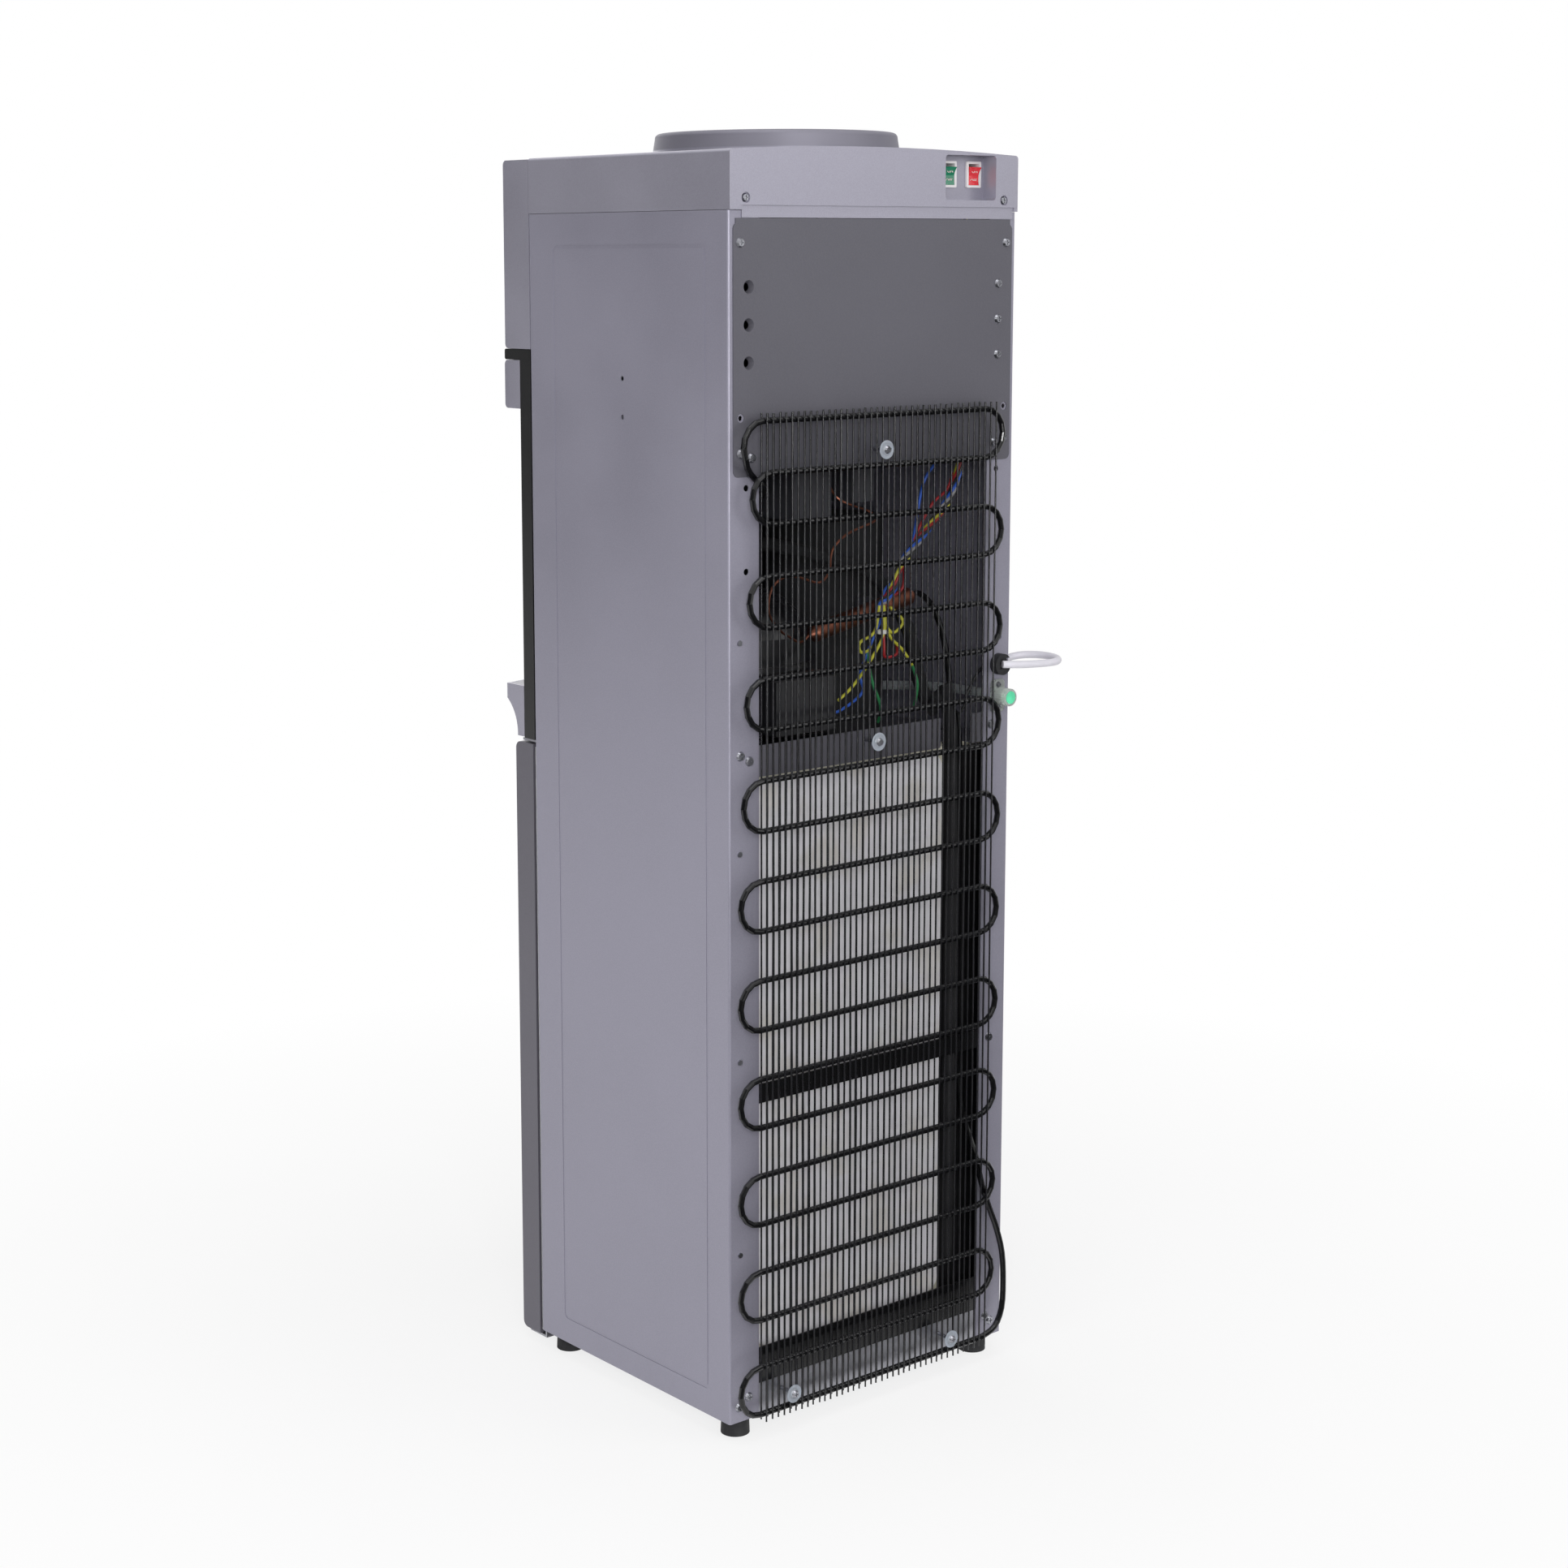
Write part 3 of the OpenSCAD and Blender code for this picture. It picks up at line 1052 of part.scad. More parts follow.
// Hoses: cold tank to its tap, hot tank to its tap, cold tank to hot tank, hot tank to the drain
module water_hoses() color("#d9dde0") at_rear() {
    x = tap_gap / 2;
    foam_face = tank_y - sqrt((cold_r + cold_foam) ^ 2 - (x - hose_r) ^ 2) - seat;
    hot_low = shelf_top + 57.8;
    tube([[x, front_y + 8.3, barrel_z], [x, foam_face, barrel_z]], hose_r, 10);
    tube(smooth(concat(from([hot_x, hot_y, shelf_top + hot_h], [[0, 0, 32.5], [-1, -4, 44]]),
        from([hot_x, hot_y, tank_shelf_z], [[-12, -38, -44], [-16, -56, -17], [-16, -58, 5], [-6, -82, 15]]),
        [[-44, front_y + 21, barrel_z], [-x, front_y + 14, barrel_z], [-x, front_y + 8.6, barrel_z]]), 3),
        hose_r, 10);
    tube(smooth([[hose_column[0], hose_column[1], tank_shelf_z + 1.1],
        [hose_column[0], hose_column[1], tank_shelf_z - 49],
        [hose_column[0], hose_column[1], hot_low + 34], [hose_column[0] - 2, hose_column[1], hot_low + 10],
        [hot_x + 0.92 * hot_out, hot_y - 0.83 * hot_out, hot_low + 1],
        [hot_x + 0.741 * hot_out, hot_y - 0.671 * hot_out, hot_low]], 3), hose_r, 10);
    tube(smooth([[hot_x - hot_out - 0.2, hot_y, drain_z - 5], [33 - half_w, hot_y + 4, drain_z - 5],
        [21 - half_w, -100, drain_z - 3], [drain_x, -60, drain_z - 0.5], [drain_x, -30, drain_z],
        [drain_x, -14.3, drain_z]], 3), hose_r, 10);
}

// Loom: a bundle from the switches down behind the back plate, and single leads below its tie
bundle = concat([for (p = [[-22.5, -19, 122.8], [-28, -16, 128], [-34.5, -15, 137], [-38.7, -14.5, 150.5],
    [-47, -14, 160], [-56, -14, 168.5], [-69, -14, 180], [-82, -14, 192], [-93, -13, 204], [-99, -10, 220],
    [-102, -7.6, 242]]) p + [0, 0, shelf_top]], [[-103, -7.5, back_plate_z + 45], [-103, -7.5, cover_z - 60],
    [-103, -7.5, cover_z + 6.6]]);
leads = [
    [[-21.3, -14, 119.8], [-21.4, -13, 98.8], [-7.3, -14, 77.2], [11.7, -14, 58.5], [26, -16, 47.8]],
    [[-24, -16, 121.8], [-28, -14, 97.8], [-43.8, -14, 83.3], [-54.8, -14, 69.4], [-61, -14, 52.8],
        [-63, -20, 31.8]],
    [[-20, -17, 121.8], [-14, -16, 100.8], [4, -14, 93.8], [3, -14, 85.8], [-8, -16, 86.3], [-18, -24, 91.8]],
    [[-26, -20, 119.8], [-20, -11, 89.8], [-21.5, -11, 79.8], [-35, -12, 80.8], [-44, -22, 87.8]],
    [[-27, -18.5, 115.8], [-1, -18, 69.8], [-2, -17, 51.8], [24, -18, 38.3], [31, -19, 41.8]]
];
gland_lead = concat(from([gland_x, 0, gland_z], [[3, -9, 0], [9, -14, -8], [20, -15, -24], [26, -15, -38]]),
    from([-half_w, 0, shelf_top], [[48, -24, 11], [66, -32, 6.5], [92, -34, 4.5], [135, -31, 4.5]]),
    from([comp_x - 34, -21, shelf_top], [[-18, -3, 8], [-8, -1, 24], [-6, 0, 38], [-2, 0, 42]]));
module wiring_loom() color("#c9b83a") at_rear() {
    tube(smooth(bundle, 3), 3.2, 10);
    for (lead = leads) tube(smooth(from([0, 0, shelf_top], lead), 4), 1.3, 8);
    tube(smooth(gland_lead, 4), 1.3, 8);
}

// Thermostat on the hot tank, and two control boxes that hang from the tank's shelf
module thermostats() color("#34343a") at_rear() {
    translate([hot_x, hot_y + hot_out - 0.2, shelf_top + 111.8]) rotate([-90, 0, 0]) {
        cylinder(r = 9, h = 8);
        cylinder(r = 4, h = 14);
    }
    box(hot_end[0] - 88, hot_end[0] - 46, -60, -24, tank_shelf_z - 84, tank_shelf_z - seat);
    box(hot_end[0] - 138, hot_end[0] - 114, -58, -28, tank_shelf_z - 74, tank_shelf_z - seat);
}

module cord_gland() color("#17171a") at_rear() {
    difference() {
        union() {
            rod_y(gland_x, gland_z, gland_r, 0, 7);
            rod_y(gland_x, gland_z, gland_r - 3, -8, 1);
        }
        rod_y(gland_x, gland_z, 2, -9, 3);
        box(gland_x - gland_r - 1, gland_x + 3.8, 2.6, 9, gland_z - 3.8, gland_z + 5.2);
    }
}

module drain_socket() color("#d3d6d8") at_rear() difference() {
    union() {
        along_y(0, 2) round_rect(drain_x - 7.5, drain_x + 7.5, drain_z - drain_screws / 2 - 4.5,
            drain_z + drain_screws / 2 + 4.5, 4);
        rod_y(drain_x, drain_z, 6.2, -14, 11.6);
    }
    rod_y(drain_x, drain_z, 4, -15, 12);
    for (z = [-1, 1]) rod_y(drain_x, drain_z + z * drain_screws / 2, screw_hole, -1, 3);
    for (i = [0:2]) translate([drain_x, cap_y + 0.8 + i * cap_pitch, drain_z]) rotate([90, 0, 0])
        rotate_extrude() translate([6.2, 0]) circle(0.4, $fn = 16);
}

module drain_cap() color("#cfd4d2") at_rear() difference() {
    rod_y(drain_x, drain_z, cap_r, cap_y, cap_y + cap_l);
    rod_y(drain_x, drain_z, 6.2 + pin_play, cap_y - 1, 11.9);
    rod_y(drain_x, drain_z, 5.4, 11, cap_y + cap_l + 1);
}

module drain_plug() color("#4fc08d") at_rear() {
    rod_y(drain_x, drain_z, 5.35, 12, cap_y + cap_l + 0.2);
    rod_y(drain_x, drain_z, 3.93, 5, 12.5);
}

// Cord: the free stretch, the coil on the floor and the plug beside it
coil_x = gland_x - 73;
coil_y = -198;
coil_turns = 4;
coil_pitch = cord_d + 0.8;
coil_out = 42;
coil_inner = coil_out - coil_pitch * coil_turns / 2;
coil_base = 3.5;
coil_lead = 6;
function coil_side(t) = abs(t - coil_turns / 2);
function coil_rad(t) = coil_inner + coil_pitch * coil_side(t);
function coil_lift(t) = let (u = (t - coil_turns / 2) * 2 + 0.5) (u <= 0 ? 0 : u >= 1 ? 1 : u) * coil_pitch;
function coil_point(t) = [coil_x + coil_rad(t) * cos(180 + 360 * t),
    coil_y + coil_rad(t) * sin(180 + 360 * t), coil_base + coil_lift(t)];
coil_loops = [for (i = [0:24 * coil_turns]) coil_point(i / 24)];
coil_end = coil_loops[len(coil_loops) - 1] - [0, coil_lead, 0];
coil_points = concat(coil_loops, [coil_end]);
coil_gap = min([for (i = [0:len(coil_points) - 13], j = [i + 12:len(coil_points) - 1])
    norm(coil_points[i] - coil_points[j])]) - cord_d;
echo(coil_gap = coil_gap);

module mains_cord() color("#cfcdd8") at_rear() tube(smooth(cord_route, 2), cord_d / 2, 8);
module cord_coil() color("#cfcdd8") at_rear() tube(coil_points, cord_d / 2, 6);
module mains_plug() color("#d8d6de") at_rear() translate([coil_end[0], coil_end[1] - seat, coil_end[2]]) {
    rotate([90, 0, 0]) cylinder(r1 = cord_d / 2 + 0.6, r2 = 6, h = 34);
    along_y(-68, -32) round_rect(-13, 13, -10, 10, 4);
    for (x = [-1, 1]) translate([x * 6.8, -67, 2]) rotate([0, x * 30, 0]) box(-0.8, 0.8, -18, 0, -3.1, 3.1);
    box(-0.8, 0.8, -87, -67, -8, -1.8);
}

side_panel_right();
side_panel_left();
base_pan();
feet();
top_cover();
bottle_seat();
upper_back_plate();
upper_front_panel();
indicator_lights();
recess_panel();
tap_fascia();
tap_bodies();
tank_bracket();
machine_shelf();
fridge_liner();
fridge_foam();
fridge_back_panel();
fridge_shelf();
evaporator_plate();
duct_cover();
rear_cross_bars();
hinge_brackets();
cold_tank();
cold_tank_foam();
hot_tank();
hot_tank_jacket();
compressor();
compressor_mounts();
relay_cover();
filter_drier();
capillary_tube();
suction_line();
liquid_line();
discharge_line();
condenser_tube();
condenser_wires();
condenser_washers();
condenser_screws();
rear_screws();
switch_bezels();
water_hoses();
wiring_loom();
thermostats();
cord_gland();
drain_socket();
door_panel();
door_foam();
door_liner();
door_gasket();
drip_tray();
drip_grille();
heat_rocker();
cool_rocker();
hot_paddle();
cold_paddle();
drain_cap();
drain_plug();
mains_cord();
cord_coil();
mains_plug();
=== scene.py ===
import math

import bmesh
import bpy
from mathutils import Matrix, Vector, noise


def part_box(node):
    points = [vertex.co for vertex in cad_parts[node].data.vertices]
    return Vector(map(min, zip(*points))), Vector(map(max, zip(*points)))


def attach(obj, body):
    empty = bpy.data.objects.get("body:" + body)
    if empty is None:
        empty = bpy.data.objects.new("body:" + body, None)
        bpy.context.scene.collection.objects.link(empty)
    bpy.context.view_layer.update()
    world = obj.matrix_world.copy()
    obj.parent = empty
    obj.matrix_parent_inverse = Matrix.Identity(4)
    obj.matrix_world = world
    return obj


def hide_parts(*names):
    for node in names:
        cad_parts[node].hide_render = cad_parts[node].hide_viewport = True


bl_info = {
    "name": "Water Cooler",
    "version": (1, 0, 0),
    "blender": (4, 5, 0),
    "location": "View3D > Sidebar > Water Cooler",
    "description": "Dresses a floor standing water cooler: finishes, mains lead, condenser wires and wiring",
    "category": "Object",
}

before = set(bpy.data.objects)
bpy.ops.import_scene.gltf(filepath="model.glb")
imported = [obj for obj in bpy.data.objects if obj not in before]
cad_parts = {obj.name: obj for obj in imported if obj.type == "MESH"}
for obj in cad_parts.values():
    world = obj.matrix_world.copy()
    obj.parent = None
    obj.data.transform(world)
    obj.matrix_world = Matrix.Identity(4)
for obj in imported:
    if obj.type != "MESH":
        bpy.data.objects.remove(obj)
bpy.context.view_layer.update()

# The rear sheet plane in the row frame. The cooler's small parts are placed from this plane.
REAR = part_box("side_panel_right")[1][1]


def linear(code):
    """Red, green and blue of an sRGB hex colour, made linear."""
    parts = [int(code[i : i + 2], 16) / 255 for i in (1, 3, 5)]
    return tuple(c / 12.92 if c <= 0.04045 else ((c + 0.055) / 1.055) ** 2.4 for c in parts)


def mm(size):
    """Millimetres as metres."""
    return size / 1000


def at(x, y, z):
    """Point given in millimetres, with y counted from the rear sheet plane."""
    return Vector((mm(x), REAR + mm(y), mm(z)))


# ---------------------------------------------------------------- sizes and colours


class CoolerSizes(bpy.types.PropertyGroup):
    """Sizes of the pieces that are made here."""

    lead_d: bpy.props.FloatProperty(
        name="Lead diameter", description="Diameter of the mains lead", default=0.0064, unit="LENGTH"
    )
    coil_turns: bpy.props.IntProperty(
        name="Coil turns", description="Turns of the stored lead on the floor", default=4, min=2, max=6
    )
    wire_d: bpy.props.FloatProperty(
        name="Wire diameter", description="Diameter of a condenser wire", default=0.0015, unit="LENGTH"
    )
    wire_bow: bpy.props.FloatProperty(
        name="Wire waviness", description="How far a condenser wire strays sideways", default=0.0005, unit="LENGTH"
    )
    washer_r: bpy.props.FloatProperty(
        name="Washer radius", description="Radius of the washers on the condenser", default=0.0075, unit="LENGTH"
    )
    letter_h: bpy.props.FloatProperty(
        name="Letter height", description="Height of ON and OFF on the rockers", default=0.0031, unit="LENGTH"
    )
    collar_h: bpy.props.FloatProperty(
        name="Collar height", description="Height of the bottle collar over the cover", default=0.0145, unit="LENGTH"
    )
    strand_d: bpy.props.FloatProperty(
        name="Strand diameter", description="Diameter of a lead in the machine bay", default=0.0025, unit="LENGTH"
    )


class CoolerColours(bpy.types.PropertyGroup):
    """Colours of the main finishes."""

    panel: bpy.props.FloatVectorProperty(
        name="Side panels", description="Powder coat of the side panels", default=linear("#8f8d9b"), size=3, subtype="COLOR"
    )
    back: bpy.props.FloatVectorProperty(
        name="Back plate", description="Powder coat of the upper back plate", default=linear("#5d5c64"), size=3, subtype="COLOR"
    )
    moulding: bpy.props.FloatVectorProperty(
        name="Mouldings", description="Silver plastic of the cover, the door and the front", default=linear("#9b99a6"), size=3, subtype="COLOR"
    )
    door: bpy.props.FloatVectorProperty(
        name="Door", description="Deeper silver plastic of the door", default=linear("#65636b"), size=3, subtype="COLOR"
    )
    enamel: bpy.props.FloatVectorProperty(
        name="Condenser", description="Enamel of the condenser", default=linear("#0b0b0d"), size=3, subtype="COLOR"
    )
    lead: bpy.props.FloatVectorProperty(
        name="Mains lead", description="Cover of the mains lead", default=linear("#d4d2da"), size=3, subtype="COLOR"
    )
    heating: bpy.props.FloatVectorProperty(
        name="Heating rocker", description="Plastic of the heating rocker", default=linear("#d8333b"), size=3, subtype="COLOR"
    )
    cooling: bpy.props.FloatVectorProperty(
        name="Cooling rocker", description="Plastic of the cooling rocker", default=linear("#1f7d5c"), size=3, subtype="COLOR"
    )


class CoolerStage(bpy.types.PropertyGroup):
    """Light and floor."""

    key_power: bpy.props.FloatProperty(
        name="Main lamp", description="Power of the soft box over the camera", default=66.0, min=0.0, subtype="POWER"
    )
    rear_power: bpy.props.FloatProperty(
        name="Rear lamp", description="Power of the soft box that shines in the rear", default=14.0, min=0.0, subtype="POWER"
    )
    fill_power: bpy.props.FloatProperty(
        name="Side lamp", description="Power of the soft box beside the camera", default=9.0, min=0.0, subtype="POWER"
    )
    strip_power: bpy.props.FloatProperty(
        name="Strip lamp", description="Power of the strip that draws highlights", default=55.0, min=0.0, subtype="POWER"
    )
    top_power: bpy.props.FloatProperty(
        name="Top lamp", description="Power of the soft box overhead", default=14.0, min=0.0, subtype="POWER"
    )
    ambient: bpy.props.FloatProperty(
        name="Room light", description="Strength of the even room light", default=0.42, min=0.0
    )


# ---------------------------------------------------------------- finishes


def add_node(tree, kind, inputs=None, **settings):
    """Adds a node with its settings, and fills or links its inputs."""
    node = tree.nodes.new(kind)
    for name, value in settings.items():
        setattr(node, name, value)
    for key, value in (inputs or {}).items():
        if isinstance(value, bpy.types.NodeSocket):
            tree.links.new(value, node.inputs[key])
        else:
            node.inputs[key].default_value = value
    return node


def shade(colour, factor):
    """A colour made darker or lighter, with full alpha."""
    return tuple(min(1.0, c * factor) for c in colour[:3]) + (1.0,)


def start_finish(name, inputs):
    """Starts a material with its shader, and returns it with its tree, shader and object coordinates."""
    material = bpy.data.materials.new(name)
    material.use_nodes = True
    tree = material.node_tree
    tree.nodes.clear()
    shader = add_node(tree, "ShaderNodeBsdfPrincipled", inputs)
    add_node(tree, "ShaderNodeOutputMaterial", {"Surface": shader.outputs["BSDF"]})
    where = add_node(tree, "ShaderNodeTexCoord").outputs["Object"]
    return material, tree, shader, where


def patches(tree, where, size, detail=2.0, low=0.35, high=0.65, stretch=None):
    """Soft patches from 0 to 1, size mm across, and drawn out along the axes by stretch."""
    if stretch:
        where = add_node(tree, "ShaderNodeMapping", {"Vector": where, "Scale": stretch}).outputs["Vector"]
    cloud = add_node(tree, "ShaderNodeTexNoise", {"Vector": where, "Scale": 1 / mm(size), "Detail": detail})
    spread = add_node(
        tree, "ShaderNodeMapRange", {"Value": cloud.outputs["Fac"], "From Min": low, "From Max": high}
    )
    return spread.outputs["Result"]


def tint(tree, share, first, second):
    """Colour between the first and the second by a share."""
    mix = add_node(tree, "ShaderNodeMix", {0: share, 6: first, 7: second}, data_type="RGBA")
    return mix.outputs[2]


def span(tree, share, low, high):
    """Value between low and high by a share."""
    return add_node(
        tree, "ShaderNodeMapRange", {"Value": share, "To Min": low, "To Max": high}
    ).outputs["Result"]


def relief(tree, shader, height, depth, strength=1.0, under=None):
    """Raises the surface by a height, depth mm at most."""
    inputs = {"Height": height, "Distance": mm(depth), "Strength": strength}
    if under:
        inputs["Normal"] = under
    bump = add_node(tree, "ShaderNodeBump", inputs).outputs["Normal"]
    tree.links.new(bump, shader.inputs["Normal"])
    return bump


def powder_coat(name, colour, peel=1.7, roughness=0.42, flakes=0.0):
    """Powder coated steel sheet: satin, with an orange peel of about 2 mm, faint clouds and metal flakes."""
    material, tree, shader, where = start_finish(name, {"IOR": 1.5, "Metallic": flakes})
    cloud = patches(tree, where, 160, 3.0)
    fleck = patches(tree, where, 0.8, 1.0)
    tone = tint(tree, cloud, shade(colour, 0.95), shade(colour, 1.04))
    fine = tint(tree, span(tree, fleck, 0.0, 0.3), tone, shade(colour, 1.25))
    tree.links.new(fine, shader.inputs["Base Color"])
    tree.links.new(span(tree, cloud, roughness - 0.04, roughness + 0.06), shader.inputs["Roughness"])
    relief(tree, shader, patches(tree, where, peel, 1.0, 0.3, 0.7), 0.05, 0.5)
    return material


def moulded_plastic(name, colour, grain=0.9, depth=0.05, roughness=0.45, ior=1.52):
    """Injection moulded ABS: an even, fine spark-eroded grain, with faint flow clouds."""
    material, tree, shader, where = start_finish(name, {"IOR": ior})
    cloud = patches(tree, where, 70, 2.0)
    tree.links.new(tint(tree, cloud, shade(colour, 0.96), shade(colour, 1.04)), shader.inputs["Base Color"])
    tree.links.new(span(tree, cloud, roughness - 0.03, roughness + 0.05), shader.inputs["Roughness"])
    relief(tree, shader, patches(tree, where, grain, 2.0, 0.3, 0.7), depth, 0.6)
    return material


def plug_plastic(name, colour, pins, pins_end):
    """Moulded PVC with a fine grain, and bare metal pins before the plane y = pins_end."""
    material, tree, shader, where = start_finish(name, {"IOR": 1.52})
    along = add_node(tree, "ShaderNodeSeparateXYZ", {"Vector": where}).outputs["Y"]
    bare = add_node(tree, "ShaderNodeMath", {0: along, 1: pins_end}, operation="LESS_THAN").outputs["Value"]
    body = tint(tree, patches(tree, where, 20), shade(colour, 0.95), shade(colour, 1.03))
    tree.links.new(tint(tree, bare, body, pins + (1.0,)), shader.inputs["Base Color"])
    tree.links.new(bare, shader.inputs["Metallic"])
    tree.links.new(span(tree, bare, 0.42, 0.25), shader.inputs["Roughness"])
    relief(tree, shader, patches(tree, where, 0.7, 2.0, 0.3, 0.7), 0.05, 0.5)
    return material


def silver_moulding(name, colour, roughness=0.34, matt_above=None):
    """Silver painted ABS: metal flakes in a clear film give it a soft sheen, over a fine moulded grain.

    Above the height matt_above it is rougher, and its colour is darkened to 0.62 as painted shade on the collar.
    """
    material, tree, shader, where = start_finish(name, {"IOR": 1.5, "Metallic": 0.45})
    cloud = patches(tree, where, 90, 2.0)
    flake = patches(tree, where, 0.7, 1.0)
    tone = tint(tree, cloud, shade(colour, 0.97), shade(colour, 1.03))
    tone = tint(tree, span(tree, flake, 0.0, 0.3), tone, shade(colour, 1.3))
    rough = span(tree, cloud, roughness - 0.03, roughness + 0.05)
    if matt_above:
        height = add_node(tree, "ShaderNodeSeparateXYZ", {"Vector": where}).outputs["Z"]
        shaded_collar = add_node(
            tree, "ShaderNodeMapRange", {"Value": height, "From Min": matt_above, "From Max": matt_above + mm(1.5)}
        ).outputs["Result"]
        # Painted shade: above matt_above the colour darkens to 0.62, as shade on the collar.
        tone = tint(tree, shaded_collar, tone, shade(colour, 0.62))
        rough = add_node(tree, "ShaderNodeMath", {0: rough, 1: span(tree, shaded_collar, 0.0, 0.2)}).outputs["Value"]
    tree.links.new(tone, shader.inputs["Base Color"])
    tree.links.new(rough, shader.inputs["Roughness"])
    relief(tree, shader, patches(tree, where, 1.1, 2.0, 0.3, 0.7), 0.04, 0.4)
    return material


def glossy_plastic(name, colour, roughness=0.2, ior=1.58):
    """Polished polycarbonate: bright highlights, and hairline handling marks about 6 mm long."""
    material, tree, shader, where = start_finish(name, {"IOR": ior, "Coat Weight": 0.25, "Coat Roughness": 0.1})
    marks = patches(tree, where, 1.2, 3.0, 0.5, 0.75, (0.2, 1.0, 1.0))
    tree.links.new(tint(tree, patches(tree, where, 9), shade(colour, 0.93), shade(colour, 1.05)), shader.inputs["Base Color"])
    tree.links.new(span(tree, marks, roughness, roughness + 0.18), shader.inputs["Roughness"])
    relief(tree, shader, marks, 0.015, 0.4)
    return material


def black_enamel(name, colour):
    """Dipped black enamel on steel: deep gloss with soft runs, and a trace of dust on what faces up."""
    material, tree, shader, where = start_finish(name, {"IOR": 1.5})
    facing = add_node(tree, "ShaderNodeSeparateXYZ", {"Vector": add_node(tree, "ShaderNodeNewGeometry").outputs["Normal"]})
    up = add_node(tree, "ShaderNodeMapRange", {"Value": facing.outputs["Z"], "From Min": 0.35, "From Max": 1.0})
    dust = add_node(
        tree, "ShaderNodeMath", {0: up.outputs["Result"], 1: patches(tree, where, 5, 3.0)}, operation="MULTIPLY"
    ).outputs["Value"]
    tone = tint(tree, patches(tree, where, 40), shade(colour, 0.85), shade(colour, 1.3))
    tree.links.new(tint(tree, span(tree, dust, 0.0, 0.05), tone, linear("#77767c") + (1.0,)), shader.inputs["Base Color"])
    tree.links.new(span(tree, dust, 0.2, 0.34), shader.inputs["Roughness"])
    relief(tree, shader, patches(tree, where, 4, 1.0, 0.3, 0.7, (1.0, 1.0, 0.4)), 0.06, 0.4)
    return material


def worn_metal(name, colour, stain, roughness=0.3, line=1.0, stretch=(1.0, 1.0, 0.06), stained=0.35):
    """Bare or plated metal: drawn or rolled lines about 1 mm apart, and duller stained patches."""
    material, tree, shader, where = start_finish(name, {"Metallic": 1.0})
    lines = patches(tree, where, line, 2.0, 0.3, 0.7, stretch)
    spots = patches(tree, where, 14, 4.0, 0.45, 0.7)
    tone = tint(tree, lines, shade(colour, 0.9), shade(colour, 1.06))
    tree.links.new(tint(tree, span(tree, spots, 0.0, stained), tone, stain + (1.0,)), shader.inputs["Base Color"])
    tree.links.new(span(tree, spots, roughness, roughness + 0.2), shader.inputs["Roughness"])
    relief(tree, shader, lines, 0.02, 0.4)
    return material


def galvanised_sheet(name, colour):
    """Galvanised steel: flat crystals about 8 mm across that catch the light one by one."""
    material, tree, shader, where = start_finish(name, {"Metallic": 0.85})
    crystal = add_node(tree, "ShaderNodeTexVoronoi", {"Vector": where, "Scale": 1 / mm(8)})
    share = add_node(tree, "ShaderNodeSeparateColor", {"Color": crystal.outputs["Color"]}).outputs["Red"]
    tree.links.new(tint(tree, share, shade(colour, 0.82), shade(colour, 1.12)), shader.inputs["Base Color"])
    tree.links.new(span(tree, share, 0.34, 0.5), shader.inputs["Roughness"])
    relief(tree, shader, crystal.outputs["Distance"], 0.02, 0.3)
    return material


def moulded_rubber(name, colour, roughness=0.72):
    """Moulded rubber: dull, with a grey bloom and a 1 mm mould texture."""
    material, tree, shader, where = start_finish(name, {"IOR": 1.52})
    bloom = patches(tree, where, 11, 3.0)
    tree.links.new(tint(tree, span(tree, bloom, 0.0, 0.4), shade(colour, 1.0), shade(colour, 1.9)), shader.inputs["Base Color"])
    tree.links.new(span(tree, bloom, roughness - 0.1, roughness + 0.12), shader.inputs["Roughness"])
    relief(tree, shader, patches(tree, where, 1.0, 2.0, 0.3, 0.7), 0.08, 0.6)
    return material


def foam_block(name, colour, cell, depth):
    """Foam with open cells or pressed beads: each cell is a small dent, with a darker rim that is painted shade."""
    material, tree, shader, where = start_finish(name, {"IOR": 1.45, "Roughness": 0.85})
    cells = add_node(tree, "ShaderNodeTexVoronoi", {"Vector": where, "Scale": 1 / mm(cell)}).outputs["Distance"]
    tone = tint(tree, patches(tree, where, 30, 3.0), shade(colour, 0.84), shade(colour, 1.05))
    # Painted shade: each cell's colour darkens to 0.6 towards its rim, where the relief is lowest.
    tree.links.new(tint(tree, span(tree, cells, 0.0, 0.3), tone, shade(colour, 0.6)), shader.inputs["Base Color"])
    relief(tree, shader, span(tree, cells, 1.0, 0.0), depth, 0.8)
    return material


def stained_sheet(name, colour, stain):
    """Vacuum formed polystyrene: white and smooth, with yellowed stains and scuffs from assembly."""
    material, tree, shader, where = start_finish(name, {"IOR": 1.59, "Roughness": 0.38})
    stains = patches(tree, where, 34, 5.0, 0.5, 0.68)
    scuffs = patches(tree, where, 2.4, 3.0, 0.52, 0.7, (1.0, 1.0, 0.12))
    tone = tint(tree, span(tree, stains, 0.0, 0.5), shade(colour, 1.0), stain + (1.0,))
    tree.links.new(tint(tree, span(tree, scuffs, 0.0, 0.2), tone, shade(colour, 0.6)), shader.inputs["Base Color"])
    relief(tree, shader, patches(tree, where, 12, 2.0, 0.3, 0.7), 0.2, 0.4)
    return material


def clear_plastic(name, colour, cloud=0.25):
    """Natural polypropylene: clear but milky, so light glows in it and its edges show pale."""
    material, tree, shader, where = start_finish(
        name, {"IOR": 1.49, "Transmission Weight": 0.72, "Subsurface Weight": 0.0}
    )
    haze = patches(tree, where, 6, 2.0)
    tree.links.new(tint(tree, haze, shade(colour, 0.94), shade(colour, 1.0)), shader.inputs["Base Color"])
    tree.links.new(span(tree, haze, cloud, cloud + 0.15), shader.inputs["Roughness"])
    relief(tree, shader, patches(tree, where, 1.5, 1.0, 0.3, 0.7), 0.03, 0.4)
    return material


